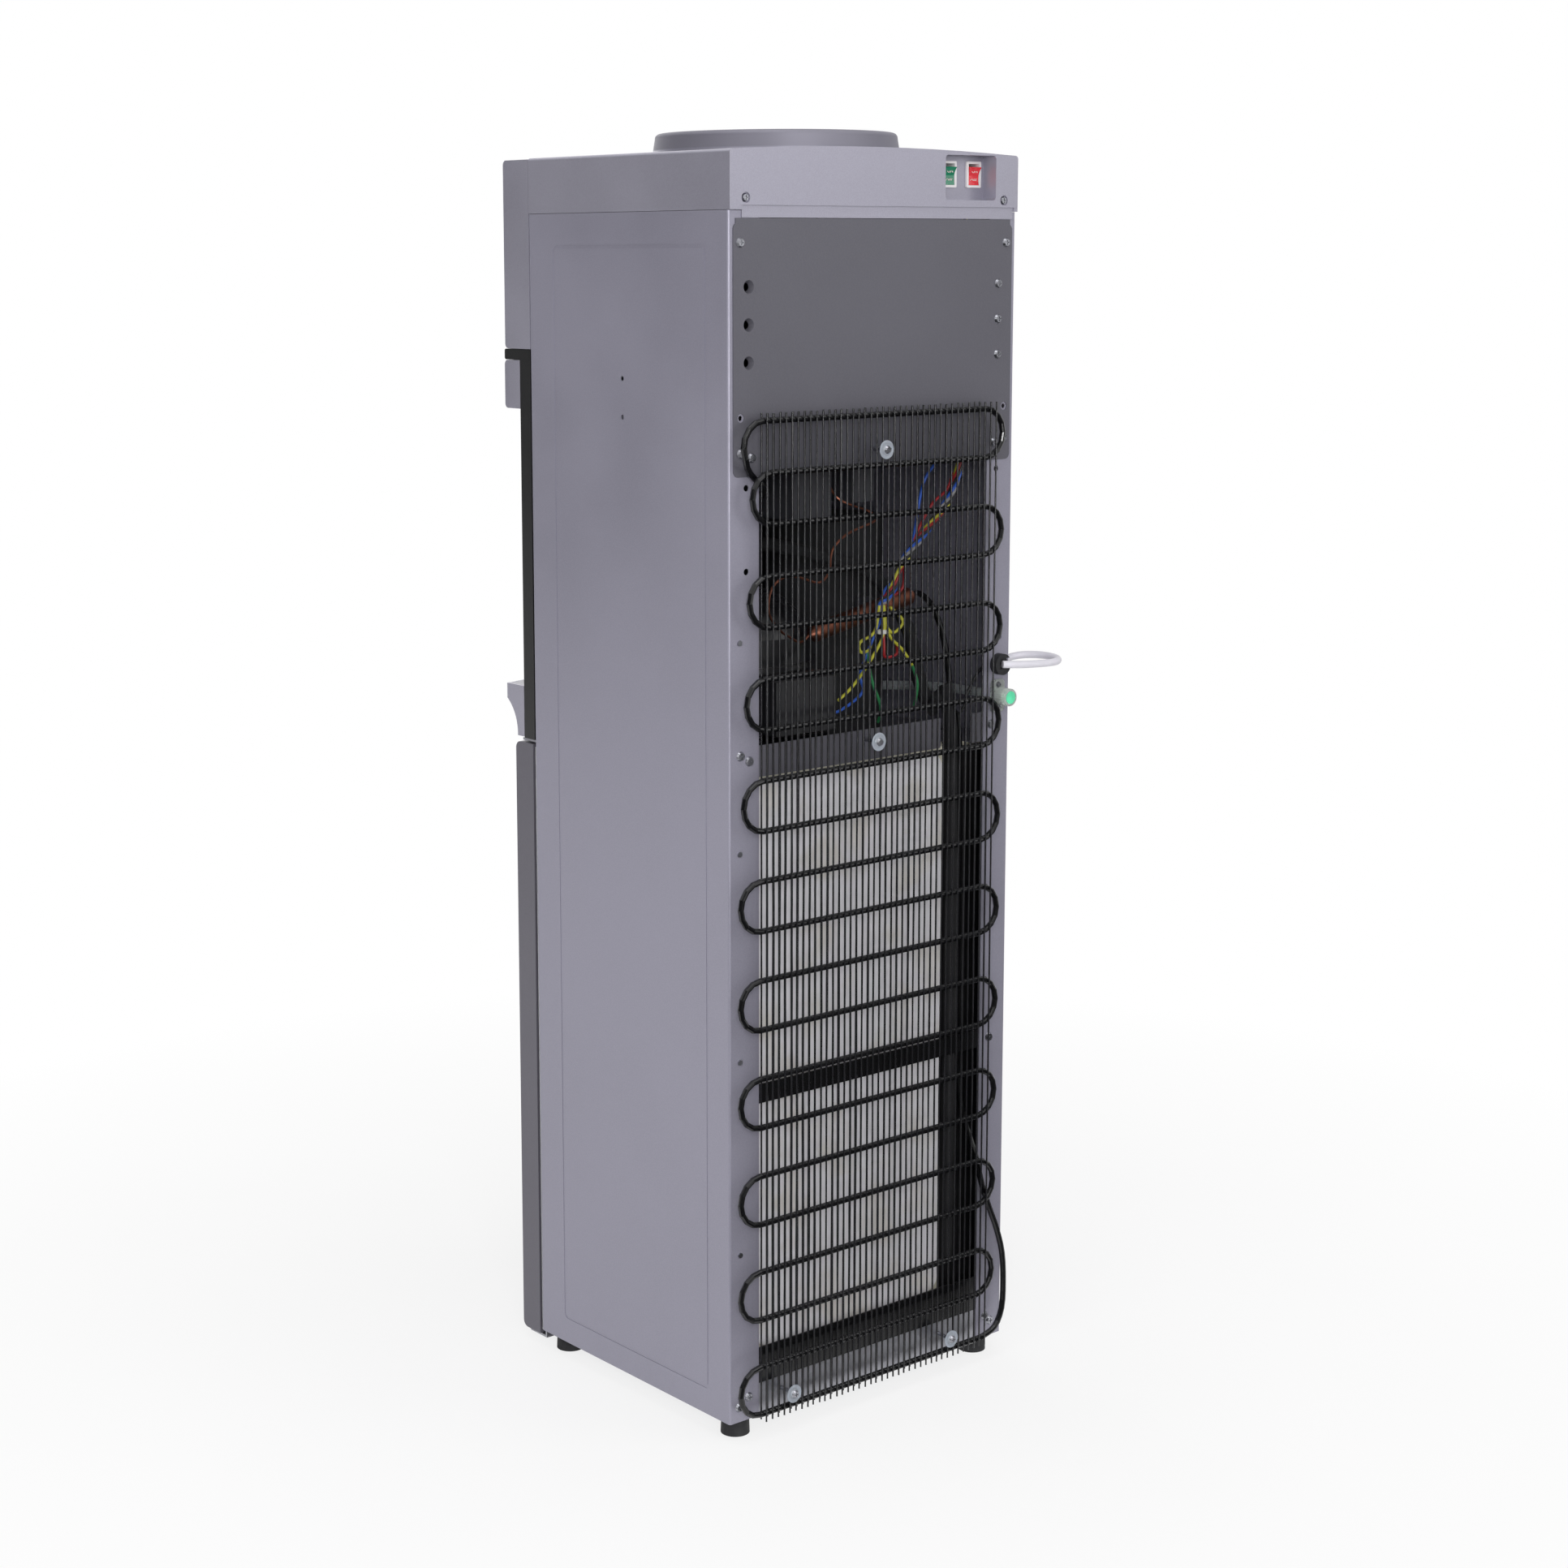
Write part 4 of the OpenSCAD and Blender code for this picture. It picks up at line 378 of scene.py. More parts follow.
def soft_cover(name, colour, roughness=0.5):
    """Extruded PVC: smooth along its length, with fine drag lines and a faint soiled tint."""
    material, tree, shader, where = start_finish(name, {"IOR": 1.53, "Sheen Weight": 0.05})
    soil = patches(tree, where, 28, 4.0, 0.5, 0.75)
    tree.links.new(tint(tree, span(tree, soil, 0.0, 0.3), shade(colour, 1.0), shade(colour, 0.72)), shader.inputs["Base Color"])
    tree.links.new(span(tree, soil, roughness, roughness + 0.15), shader.inputs["Roughness"])
    relief(tree, shader, patches(tree, where, 0.8, 1.0, 0.3, 0.7), 0.03, 0.4)
    return material


def dress(finish, *nodes):
    """Gives a finish to CAD nodes."""
    for name in nodes:
        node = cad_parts[name]
        if not node.material_slots:
            node.data.materials.append(finish)
        for place in node.material_slots:
            place.material = finish


def soften_edges(name, width):
    """Rounds the sharp edges of a CAD node by width mm, so that they catch the light."""
    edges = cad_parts[name].modifiers.new("Edge rounding", "BEVEL")
    edges.width = mm(width)
    edges.segments = 3
    edges.limit_method = "ANGLE"
    edges.angle_limit = math.radians(60)
    edges.use_clamp_overlap = True


# ---------------------------------------------------------------- making pieces


def place_piece(obj, body, finish=None):
    """Links a new piece, gives it its finish and slot, and lets it ride on a body."""
    if obj.name not in bpy.context.scene.collection.all_objects:
        bpy.context.scene.collection.objects.link(obj)
    if finish:
        obj.data.materials.append(finish)
    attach(obj, body)
    return obj


def round_line(name, paths, radius, facets=2, closed=False, finishes=()):
    """Round wires or leads along paths. Each path is a list of points with the number of its finish."""
    curve = bpy.data.curves.new(name, "CURVE")
    for finish in finishes:
        curve.materials.append(finish)
    curve.dimensions = "3D"
    curve.bevel_depth = radius
    curve.bevel_resolution = facets
    curve.use_fill_caps = True
    for points, finish in paths:
        line = curve.splines.new("POLY")
        line.points.add(len(points) - 1)
        for i, point in enumerate(points):
            line.points[i].co = (*point, 1.0)
        line.material_index = finish
        line.use_smooth = True
        line.use_cyclic_u = closed
    return bpy.data.objects.new(name, curve)


def smooth_path(points, steps):
    """Even curve through the points, with some steps between each two."""
    path = []
    for i in range(len(points) - 1):
        a, b = points[max(i - 1, 0)], points[i]
        c, d = points[i + 1], points[min(i + 2, len(points) - 1)]
        for k in range(steps):
            t = k / steps
            path.append(
                0.5 * (2 * b + (c - a) * t + (2 * a - 5 * b + 4 * c - d) * t * t + (3 * b - a - 3 * c + d) * t**3)
            )
    return path + [points[-1]]


def turned_piece(profile, centre, steps=64):
    """Piece turned about an axis along Y from a closed profile of (radius, y) in mm."""
    mesh = bmesh.new()
    corners = [mesh.verts.new(centre + Vector((mm(r), mm(y), 0))) for r, y in profile]
    edges = [mesh.edges.new((corners[i], corners[(i + 1) % len(corners)])) for i in range(len(corners))]
    bmesh.ops.spin(
        mesh,
        geom=corners + edges,
        cent=centre,
        axis=(0, 1, 0),
        angle=2 * math.pi,
        steps=steps,
        use_merge=True,
        use_duplicate=False,
    )
    bmesh.ops.remove_doubles(mesh, verts=mesh.verts, dist=1e-6)
    bmesh.ops.recalc_face_normals(mesh, faces=mesh.faces)
    return mesh


def finish_mesh(mesh, name, smooth_angle=35):
    """Turns a bmesh into an object whose edges over the angle stay sharp."""
    data = bpy.data.meshes.new(name)
    mesh.to_mesh(data)
    mesh.free()
    data.polygons.foreach_set("use_smooth", [True] * len(data.polygons))
    data.set_sharp_from_angle(angle=math.radians(smooth_angle))
    return bpy.data.objects.new(name, data)


# ---------------------------------------------------------------- operators

# Route of the lead from its gland to the coil, in mm from the rear sheet plane
LEAD_ROUTE = [
    (-141, 5.9, 612), (-146.5, 8.4, 611.7), (-153, 9.8, 611.2), (-162, 10, 610.4), (-178, 10, 609.4),
    (-193, 10, 608.8), (-203.7, 7.9, 608.6), (-212.8, 1.8, 608.6), (-218.9, -7.3, 608.8),
    (-221, -18, 609), (-218.9, -28.7, 609), (-212.8, -37.8, 608.6), (-203.7, -43.9, 607.2),
    (-193, -46, 604.2), (-183.5, -46.6, 599.5), (-174.8, -47, 591.5), (-168.5, -47.4, 581),
    (-165.6, -47.8, 569), (-165, -48, 555), (-165, -48, 525), (-165, -48, 465), (-165, -48, 405),
    (-165, -48, 345), (-165, -48, 285), (-165, -48, 225), (-165, -48, 165), (-165, -48, 105),
    (-165, -48, 48), (-165, -48.6, 30), (-165, -53, 17), (-165.2, -62.5, 7.5), (-166, -76, 3.7),
    (-171, -98, 3.5), (-187.5, -119, 3.5), (-210.5, -132.3, 3.5), (-234, -146, 3.5),
    (-250, -162, 3.5), (-255, -176, 3.5), (-256, -188, 3.5), (-256, -197.4, 3.5),
]
COIL_CENTRE = (-214, -198)
COIL_OUT = 42
COIL_PITCH = 7.2
COIL_BASE = 3.5


def coil_point(t, turns):
    """Point of the coil after t turns: inwards on the floor, then outwards on top."""
    off = abs(t - turns / 2)
    radius = COIL_OUT - COIL_PITCH * turns / 2 + COIL_PITCH * off
    lift = min(max((t - turns / 2) * 2 + 0.5, 0), 1) * COIL_PITCH
    turn = math.pi + 2 * math.pi * t
    return at(COIL_CENTRE[0] + radius * math.cos(turn), COIL_CENTRE[1] + radius * math.sin(turn), COIL_BASE + lift)


class COOLER_OT_mains_lead(bpy.types.Operator):
    """Makes the mains lead with its coil and tie, and finishes its plug and gland"""

    bl_idname = "cooler.mains_lead"
    bl_label = "Mains lead"

    def execute(self, context):
        sizes = context.scene.cooler_sizes
        colours = context.scene.cooler_colours
        cover = soft_cover("PVC extruded pale grey", colours.lead)
        free = smooth_path([at(*p) for p in LEAD_ROUTE], 2)
        turns = sizes.coil_turns
        coil = [coil_point(i / 24, turns) for i in range(1, 24 * turns + 1)]
        path = free + coil + [coil[-1] - Vector((0, mm(6), 0))]
        lead = round_line("mains_lead", [(path, 0)], sizes.lead_d / 2, 4)
        place_piece(lead, "cabinet", cover)
        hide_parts("mains_cord", "cord_coil")
        pins_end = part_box("mains_plug")[0][1] + mm(18.9)
        dress(plug_plastic("PVC moulded plug with brass pins", colours.lead, linear("#c9b27a"), pins_end), "mains_plug")
        self.tie_coil(sizes, turns)
        dress(moulded_rubber("Rubber gland black", linear("#17171a")), "cord_gland")
        return {"FINISHED"}

    def tie_coil(self, sizes, turns):
        """Flat strap round the coil's turns, drawn snug with rounded corners."""
        angle = 0.9
        share = (angle - math.pi) / (2 * math.pi) % 1
        middle = at(*COIL_CENTRE, COIL_BASE)
        reach = [(coil_point(share + k, turns) - middle).xy.length * 1000 for k in range(turns)]
        half = sizes.lead_d * 500 + 0.5
        outer, inner = max(reach) + half, min(reach) - half
        low, high = COIL_BASE - sizes.lead_d * 500 + 0.1, COIL_BASE + COIL_PITCH + half
        round_r = 3.0
        loop = []
        corners = [(inner, high, 90), (outer, high, 0), (outer, low, -90), (inner, low, -180)]
        for r, z, start in corners:
            sr, sz = (1 if r == outer else -1), (1 if z == high else -1)
            for k in range(5):
                turn = math.radians(start + 90 - 22.5 * k)
                loop.append((r - sr * round_r + round_r * math.cos(turn), z - sz * round_r + round_r * math.sin(turn)))
        points = [
            at(COIL_CENTRE[0] + r * math.cos(angle), COIL_CENTRE[1] + r * math.sin(angle), z) for r, z in loop
        ]
        strap = round_line("coil_tie", [(points, 0)], mm(0.35), 1, closed=True)
        strap.data.extrude = mm(2.2)
        strap.data.twist_mode = "MINIMUM"
        for point in strap.data.splines[0].points:
            point.tilt = math.pi / 2
        place_piece(strap, "cabinet", moulded_plastic("Nylon strap black", linear("#202024"), 0.8))


class COOLER_OT_condenser(bpy.types.Operator):
    """Makes the condenser's wires and dished washers, and finishes its tube and screws"""

    bl_idname = "cooler.condenser"
    bl_label = "Condenser"

    def execute(self, context):
        sizes = context.scene.cooler_sizes
        enamel = black_enamel("Enamel dipped black", context.scene.cooler_colours.enamel)
        wire_finish = black_enamel("Enamel dipped black wire", linear("#17171a"))
        low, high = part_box("condenser_wires")
        radius = sizes.wire_d / 2
        count = 40
        step = (high[0] - low[0] - sizes.wire_d) / (count - 1)
        paths = []
        for side, depth in ((-1, low[1] + radius), (1, high[1] - radius)):
            for i in range(count):
                x = high[0] - radius - i * step
                top = high[2] - mm(2.2) * abs(noise.noise(Vector((i * 1.7, side, 5.0))))
                foot = low[2] + mm(2.0) * abs(noise.noise(Vector((i * 1.3, side, 9.0))))
                path = []
                for k in range(43):
                    z = foot + (top - foot) * k / 42
                    stray = noise.noise(Vector((i * 2.31, z * 5.0, side * 3.7)))
                    fine = noise.noise(Vector((i * 4.7, z * 22.0, side * 1.9)))
                    sink = abs(noise.noise(Vector((i * 1.1, z * 14.0, side * 8.2))))
                    limit = 1.0 if 0 < i < count - 1 else 0.0
                    shift = limit * (sizes.wire_bow * 1.6 * stray + sizes.wire_bow * 0.5 * fine)
                    path.append(Vector((x + shift, depth - side * mm(0.2) * sink, z)))
                paths.append((path, 0))
        grid = round_line("condenser_wire_grid", paths, radius, 1)
        place_piece(grid, "cabinet", wire_finish)
        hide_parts("condenser_wires")
        dress(enamel, "condenser_tube", "liquid_line", "discharge_line")
        plated = worn_metal("Steel zinc plated", linear("#a3a4ab"), linear("#77767a"), 0.26, 0.8, (1.0, 1.0, 1.0))
        self.washers(sizes, clear_plastic("Polyamide washer natural", linear("#d3dae4"), 0.35))
        dress(plated, "condenser_screws", "rear_screws")
        return {"FINISHED"}

    def washers(self, sizes, finish):
        """Dished washers under the four screws."""
        low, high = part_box("condenser_washers")
        y = (low[1] - REAR) * 1000
        r = sizes.washer_r * 1000
        places = [(2.4, 800.5), (8.8, 564.2), (98.4, 32.0), (-80.8, 32.0)]
        whole = bmesh.new()
        for x, z in places:
            profile = [
                (1.9, y), (r - 0.5, y), (r, y + 0.3), (r, y + 0.8), (r - 0.4, y + 1.05), (r - 1.7, y + 1.05),
                (r - 2.3, y + 0.75), (4.6, y + 0.75), (4.1, y + 1.25), (3.6, y + 1.6), (1.9, y + 1.6),
            ]
            ring = turned_piece(profile, Vector((mm(x), REAR, mm(z))), 48)
            data = bpy.data.meshes.new("washer")
            ring.to_mesh(data)
            ring.free()
            whole.from_mesh(data)
            bpy.data.meshes.remove(data)
        washers = finish_mesh(whole, "dished_washers")
        place_piece(washers, "cabinet", finish)
        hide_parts("condenser_washers")


# Run of the bundle from its tie up to the switches, in mm from the rear sheet plane
BUNDLE = [
    (-22.5, -19, 664), (-22.5, -19, 671), (-28, -16, 676.2), (-34.5, -15, 685.2), (-38.7, -14.5, 698.7),
    (-47, -14, 708.2), (-56, -14, 716.7), (-69, -14, 728.2), (-82, -14, 740.2), (-93, -13, 752.2),
    (-99, -10, 768.2), (-102, -7.6, 790.2), (-103, -7.5, 830), (-103, -7.5, 929), (-103, -7.5, 995.6),
]

# Colours of the leads' covers
LEAD_COLOURS = (
    ("PVC lead yellow", "#c9c63e"),
    ("PVC lead blue", "#1f57c2"),
    ("PVC lead red", "#9c1a22"),
    ("PVC lead black", "#1b1b1e"),
    ("PVC lead green", "#2f8a52"),
    ("PVC lead grey", "#8f8d90"),
)
YELLOW, BLUE, RED, BLACK, GREEN, GREY = range(6)

# Leads of the machine bay: the colour of each and its points in mm from the rear sheet plane
BAY_LEADS = [
    (YELLOW, [(-21.3, -14, 668), (-21.4, -13, 647), (-7.3, -14, 625.4), (11.7, -14, 606.7), (26, -16, 596)]),
    (YELLOW, [(-24, -16, 670), (-28, -14, 646), (-43.8, -14, 631.5), (-54.8, -14, 617.6)]),
    (GREEN, [(-54.8, -14, 617.6), (-61, -14, 601), (-63, -20, 580)]),
    (YELLOW, [(-20, -17, 670), (-14, -16, 649), (4, -14, 642), (3, -14, 634), (-8, -16, 634.5), (-18, -24, 640)]),
    (RED, [(-26, -20, 668), (-20, -11, 638), (-21.5, -11, 628), (-35, -12, 629), (-44, -22, 636)]),
    (BLUE, [(-27, -18.5, 664), (-1, -18, 618), (-2, -17, 600), (24, -18, 586.5), (31, -19, 590)]),
    (GREEN, [(-8, -17, 632), (-9, -16, 618), (-11.7, -15, 606), (-20.5, -15, 586), (-24, -22, 572)]),
    (YELLOW, [(-22, -15, 660), (-30.5, -13, 647), (-42.4, -13, 653), (-41.3, -14, 659), (-31, -16, 668)]),
    (RED, [(-46, -17, 705), (-49.5, -19, 697), (-48.7, -20, 682), (-38, -20.5, 676), (-27, -19, 673)]),
    (BLUE, [(-50, -18, 712), (-43, -19, 700), (-38.8, -19, 689), (-30, -20, 683), (-24, -20, 672)]),
    (RED, [(-100, -14, 775), (-94.7, -16, 760.9), (-80.5, -17, 751.4), (-70, -18, 738), (-58, -17, 721)]),
    (BLUE, [(-97, -12, 800), (-74.7, -18, 775.5), (-68.4, -20, 757.7), (-64, -20, 737), (-57, -17, 719)]),
    (BLACK, [
        (-138, -9, 612), (-132, -14, 604), (-121, -15, 588), (-115, -15, 574), (-107, -24, 559.2),
        (-89, -32, 554.7), (-63, -34, 552.7), (-20, -31, 552.7), (14, -24, 556.2), (24, -22, 572.2),
        (26, -21, 586.2), (30, -21, 590.2),
    ]),
]


class COOLER_OT_bay_wiring(bpy.types.Operator):
    """Makes the coloured leads of the machine bay with their bundle and tie"""

    bl_idname = "cooler.bay_wiring"
    bl_label = "Bay wiring"

    def execute(self, context):
        sizes = context.scene.cooler_sizes
        paths = [(smooth_path([at(*p) for p in points], 5), finish) for finish, points in BAY_LEADS]
        core = smooth_path([at(*p) for p in BUNDLE], 6)
        for k, finish in enumerate((YELLOW, RED, BLACK, BLUE, GREY, BLACK)):
            paths.append((self.strand(core, k), finish))
        finishes = [soft_cover(name, linear(code), 0.4) for name, code in LEAD_COLOURS]
        loom = round_line("bay_leads", paths, sizes.strand_d / 2, 2, finishes=finishes)
        place_piece(loom, "cabinet")
        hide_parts("wiring_loom")
        ring = [at(-22 + 4.6 * math.cos(a / 8 * math.pi), -15 + 3.6 * math.sin(a / 8 * math.pi), 648.5) for a in range(16)]
        tie = round_line("bay_zip_tie", [(ring, 0)], mm(0.5), 1, closed=True)
        tie.data.extrude = mm(1.3)
        place_piece(tie, "cabinet", moulded_plastic("Nylon tie natural", linear("#d9d9d4"), 0.6))
        return {"FINISHED"}

    def strand(self, core, k):
        """One strand of the bundle, wound round its middle once in about 60 mm."""
        points, run = [], 0.0
        for i, point in enumerate(core):
            ahead = core[min(i + 1, len(core) - 1)] - core[max(i - 1, 0)]
            side = ahead.cross(Vector((0, 1, 0))).normalized()
            rise = ahead.cross(side).normalized()
            turn = 2 * math.pi * (k / 6 + run / mm(60))
            points.append(point + mm(2.2) * (math.cos(turn) * side + math.sin(turn) * rise))
            run += (core[min(i + 1, len(core) - 1)] - point).length
        return points


class COOLER_OT_switches(bpy.types.Operator):
    """Finishes the bezels and rockers and puts ON and OFF on the rockers"""

    bl_idname = "cooler.switches"
    bl_label = "Switches"

    def execute(self, context):
        sizes = context.scene.cooler_sizes
        colours = context.scene.cooler_colours
        dress(glossy_plastic("Polycarbonate red", colours.heating), "heat_rocker")
        dress(glossy_plastic("Polycarbonate green", colours.cooling), "cool_rocker")
        dress(moulded_plastic("ABS moulded white", linear("#e0dcde"), 0.8, 0.03, 0.35), "switch_bezels")
        print_finish = moulded_plastic("Printing ink pale", linear("#e9d9d6"), 0.5, 0.02, 0.5)
        for rocker, body in (("heat_rocker", "heat_switch"), ("cool_rocker", "cool_switch")):
            low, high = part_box(rocker)
            bezel_low, bezel_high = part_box("switch_bezels")
            pin = Vector(((low[0] + high[0]) / 2, REAR + mm(-16.2), (bezel_low[2] + bezel_high[2]) / 2))
            self.letters(pin, body, rocker, "ON", 3.7, 21.0, sizes, print_finish)
            self.letters(pin, body, rocker, "OFF", -3.9, -17.0, sizes, print_finish)
        return {"FINISHED"}

    def letters(self, pin, body, rocker, word, up, slope, sizes, finish):
        """Raised letters on one half of a rocker's face, up mm from its pin."""
        text = bpy.data.curves.new(f"{rocker}_{word}", "FONT")
        text.body = word
        text.size = sizes.letter_h * 1.35
        text.align_x = "CENTER"
        text.align_y = "CENTER"
        text.extrude = mm(0.12)
        text.resolution_u = 3
        holder = bpy.data.objects.new(f"{rocker}_{word}", text)
        bpy.context.scene.collection.objects.link(holder)
        mesh = bpy.data.meshes.new_from_object(holder.evaluated_get(bpy.context.evaluated_depsgraph_get()))
        bpy.data.objects.remove(holder)
        tilt = math.radians(12)
        face = 4.9 + 0.06
        y = face * math.cos(tilt) + up * math.sin(tilt)
        z = -face * math.sin(tilt) + up * math.cos(tilt)
        lean = Matrix.Rotation(math.radians(-12 + slope), 4, "X")
        turn = Matrix(((-1, 0, 0, 0), (0, 0, 1, 0), (0, 1, 0, 0), (0, 0, 0, 1)))
        mesh.transform(Matrix.Translation(pin + Vector((0, mm(y), mm(z)))) @ lean @ turn)
        letters = bpy.data.objects.new(f"{rocker}_letters_{word}", mesh)
        place_piece(letters, body, finish)


class COOLER_OT_drain(bpy.types.Operator):
    """Makes the ribbed drain cap, and finishes its plug and the socket"""

    bl_idname = "cooler.drain"
    bl_label = "Drain"

    def execute(self, context):
        clear = clear_plastic("Polypropylene natural", linear("#e4eae6"))
        green = moulded_rubber("Elastomer green", linear("#4fc293"), 0.5)
        centre = Vector((mm(-140.2), REAR, mm(585)))
        profile = [
            (6.3, 4.3), (7.1, 4.3), (7.55, 4.8), (7.55, 16.2), (7.2, 16.6), (5.45, 16.6), (5.45, 12.2), (6.3, 12.0),
        ]
        mesh = turned_piece(profile, centre, 96)
        for corner in mesh.verts:
            off = corner.co - centre
            if abs(Vector((off.x, off.z)).length - mm(7.55)) < mm(0.05) and off.y < mm(16.3):
                turn = math.atan2(off.z, off.x)
                groove = 1.0 - 0.045 * (0.5 + 0.5 * math.cos(24 * turn))
                corner.co = centre + Vector((off.x * groove, off.y, off.z * groove))
        cap = finish_mesh(mesh, "ribbed_drain_cap", 50)
        place_piece(cap, "drain_lid", clear)
        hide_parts("drain_cap")
        dress(clear, "drain_socket")
        dress(green, "drain_plug")
        return {"FINISHED"}


class COOLER_OT_cabinet(bpy.types.Operator):
    """Finishes the sheet metal of the cabinet, its shelf, bars and feet"""

    bl_idname = "cooler.cabinet"
    bl_label = "Cabinet"

    def execute(self, context):
        colours = context.scene.cooler_colours
        dress(powder_coat("Steel powder coated silver", colours.panel, 1.7, 0.36, 0.35), "side_panel_right", "side_panel_left")
        dress(powder_coat("Steel powder coated graphite", colours.back, 1.7, 0.4, 0.35), "upper_back_plate")
        dress(galvanised_sheet("Steel galvanised", linear("#a9a9b0")), "base_pan", "hinge_brackets", "tank_bracket")
        dress(powder_coat("Steel powder coated grey", linear("#5c5b63")), "machine_shelf")
        dress(black_enamel("Enamel sprayed black", linear("#0e0e10")), "rear_cross_bars")
        dress(moulded_rubber("Rubber moulded black", linear("#141417")), "feet", "compressor_mounts")
        return {"FINISHED"}


class COOLER_OT_mouldings(bpy.types.Operator):
    """Finishes the plastic mouldings: cover, front, recess, taps, tray and door"""

    bl_idname = "cooler.mouldings"
    bl_label = "Mouldings"

    def execute(self, context):
        sizes = context.scene.cooler_sizes
        colours = context.scene.cooler_colours
        silver = silver_moulding("ABS painted silver", colours.moulding)
        dress(silver, "upper_front_panel", "tap_fascia", "drip_tray")
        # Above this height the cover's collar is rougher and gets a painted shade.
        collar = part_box("top_cover")[1][2] - sizes.collar_h
        dress(silver_moulding("ABS painted silver with painted collar shade", colours.moulding, matt_above=collar), "top_cover")
        soften_edges("top_cover", 1.4)
        dress(silver_moulding("ABS painted deeper silver", colours.door, 0.4), "door_panel")
        dress(moulded_plastic("ABS moulded pale silver", linear("#a9a7b1"), 0.7, 0.03, 0.35), "drip_grille")
        dress(moulded_plastic("ABS moulded black", linear("#0e0e10"), 1.0, 0.06, 0.38), "recess_panel", "duct_cover")
        dress(glossy_plastic("ABS polished black", linear("#242428"), 0.28), "tap_bodies", "relay_cover")
        dress(glossy_plastic("ABS polished red", linear("#b3282d"), 0.25), "hot_paddle")
        dress(glossy_plastic("ABS polished blue", linear("#2b62ac"), 0.25), "cold_paddle")
        dress(glossy_plastic("Acrylic lens red", linear("#c9302c"), 0.12), "indicator_lights")
        return {"FINISHED"}


class COOLER_OT_cold_cabinet(bpy.types.Operator):
    """Finishes the refrigerated cabinet: liner, foam, back sheet, shelf, gasket and cooling plate"""

    bl_idname = "cooler.cold_cabinet"
    bl_label = "Refrigerated cabinet"

    def execute(self, context):
        dress(moulded_plastic("Polystyrene formed white", linear("#eceef0"), 1.6, 0.02, 0.34), "fridge_liner", "door_liner")
        dress(stained_sheet("Polystyrene formed soiled", linear("#e6e4e9"), linear("#d4cebf")), "fridge_back_panel")
        dress(foam_block("Polyurethane foam", linear("#d8d4c3"), 2.2, 0.8), "fridge_foam", "door_foam")
        dress(glossy_plastic("Polyethylene coat white", linear("#dcdde0"), 0.35), "fridge_shelf")
        dress(worn_metal("Aluminium rolled", linear("#c6c8cc"), linear("#8f9094"), 0.32), "evaporator_plate")
        dress(moulded_rubber("Gasket vinyl grey", linear("#8f9094"), 0.6), "door_gasket")
        return {"FINISHED"}


class COOLER_OT_water_system(bpy.types.Operator):
    """Finishes the tanks, their insulation, the hoses, the thermostats and the bottle seat"""

    bl_idname = "cooler.water_system"
    bl_label = "Water system"

    def execute(self, context):
        dress(moulded_plastic("Polypropylene moulded white", linear("#dfe2e4"), 0.7, 0.03, 0.38), "bottle_seat")
        steel = worn_metal("Stainless steel brushed", linear("#c3c5c9"), linear("#97948f"), 0.28, 0.7, (0.06, 0.06, 1.0))
        dress(steel, "cold_tank", "hot_tank")
        dress(foam_block("Rubber foam black", linear("#2a2a2d"), 2.0, 0.4), "cold_tank_foam", "hot_tank_jacket")
        dress(clear_plastic("Silicone hose", linear("#dde2e4"), 0.35), "water_hoses")
        dress(moulded_plastic("Phenolic moulded dark", linear("#3a3a40"), 0.8), "thermostats")
        return {"FINISHED"}


class COOLER_OT_cooling_circuit(bpy.types.Operator):
    """Finishes the compressor and the refrigerant lines"""

    bl_idname = "cooler.cooling_circuit"
    bl_label = "Cooling circuit"

    def execute(self, context):
        dress(black_enamel("Enamel baked black", linear("#17171a")), "compressor")
        copper = worn_metal("Copper drawn", linear("#9a6350"), linear("#5a3c33"), 0.36, 0.8, (1.0, 1.0, 0.1), 0.6)
        dress(copper, "filter_drier", "capillary_tube")
        dress(foam_block("Rubber foam sleeve", linear("#202023"), 1.2, 0.2), "suction_line")
        return {"FINISHED"}


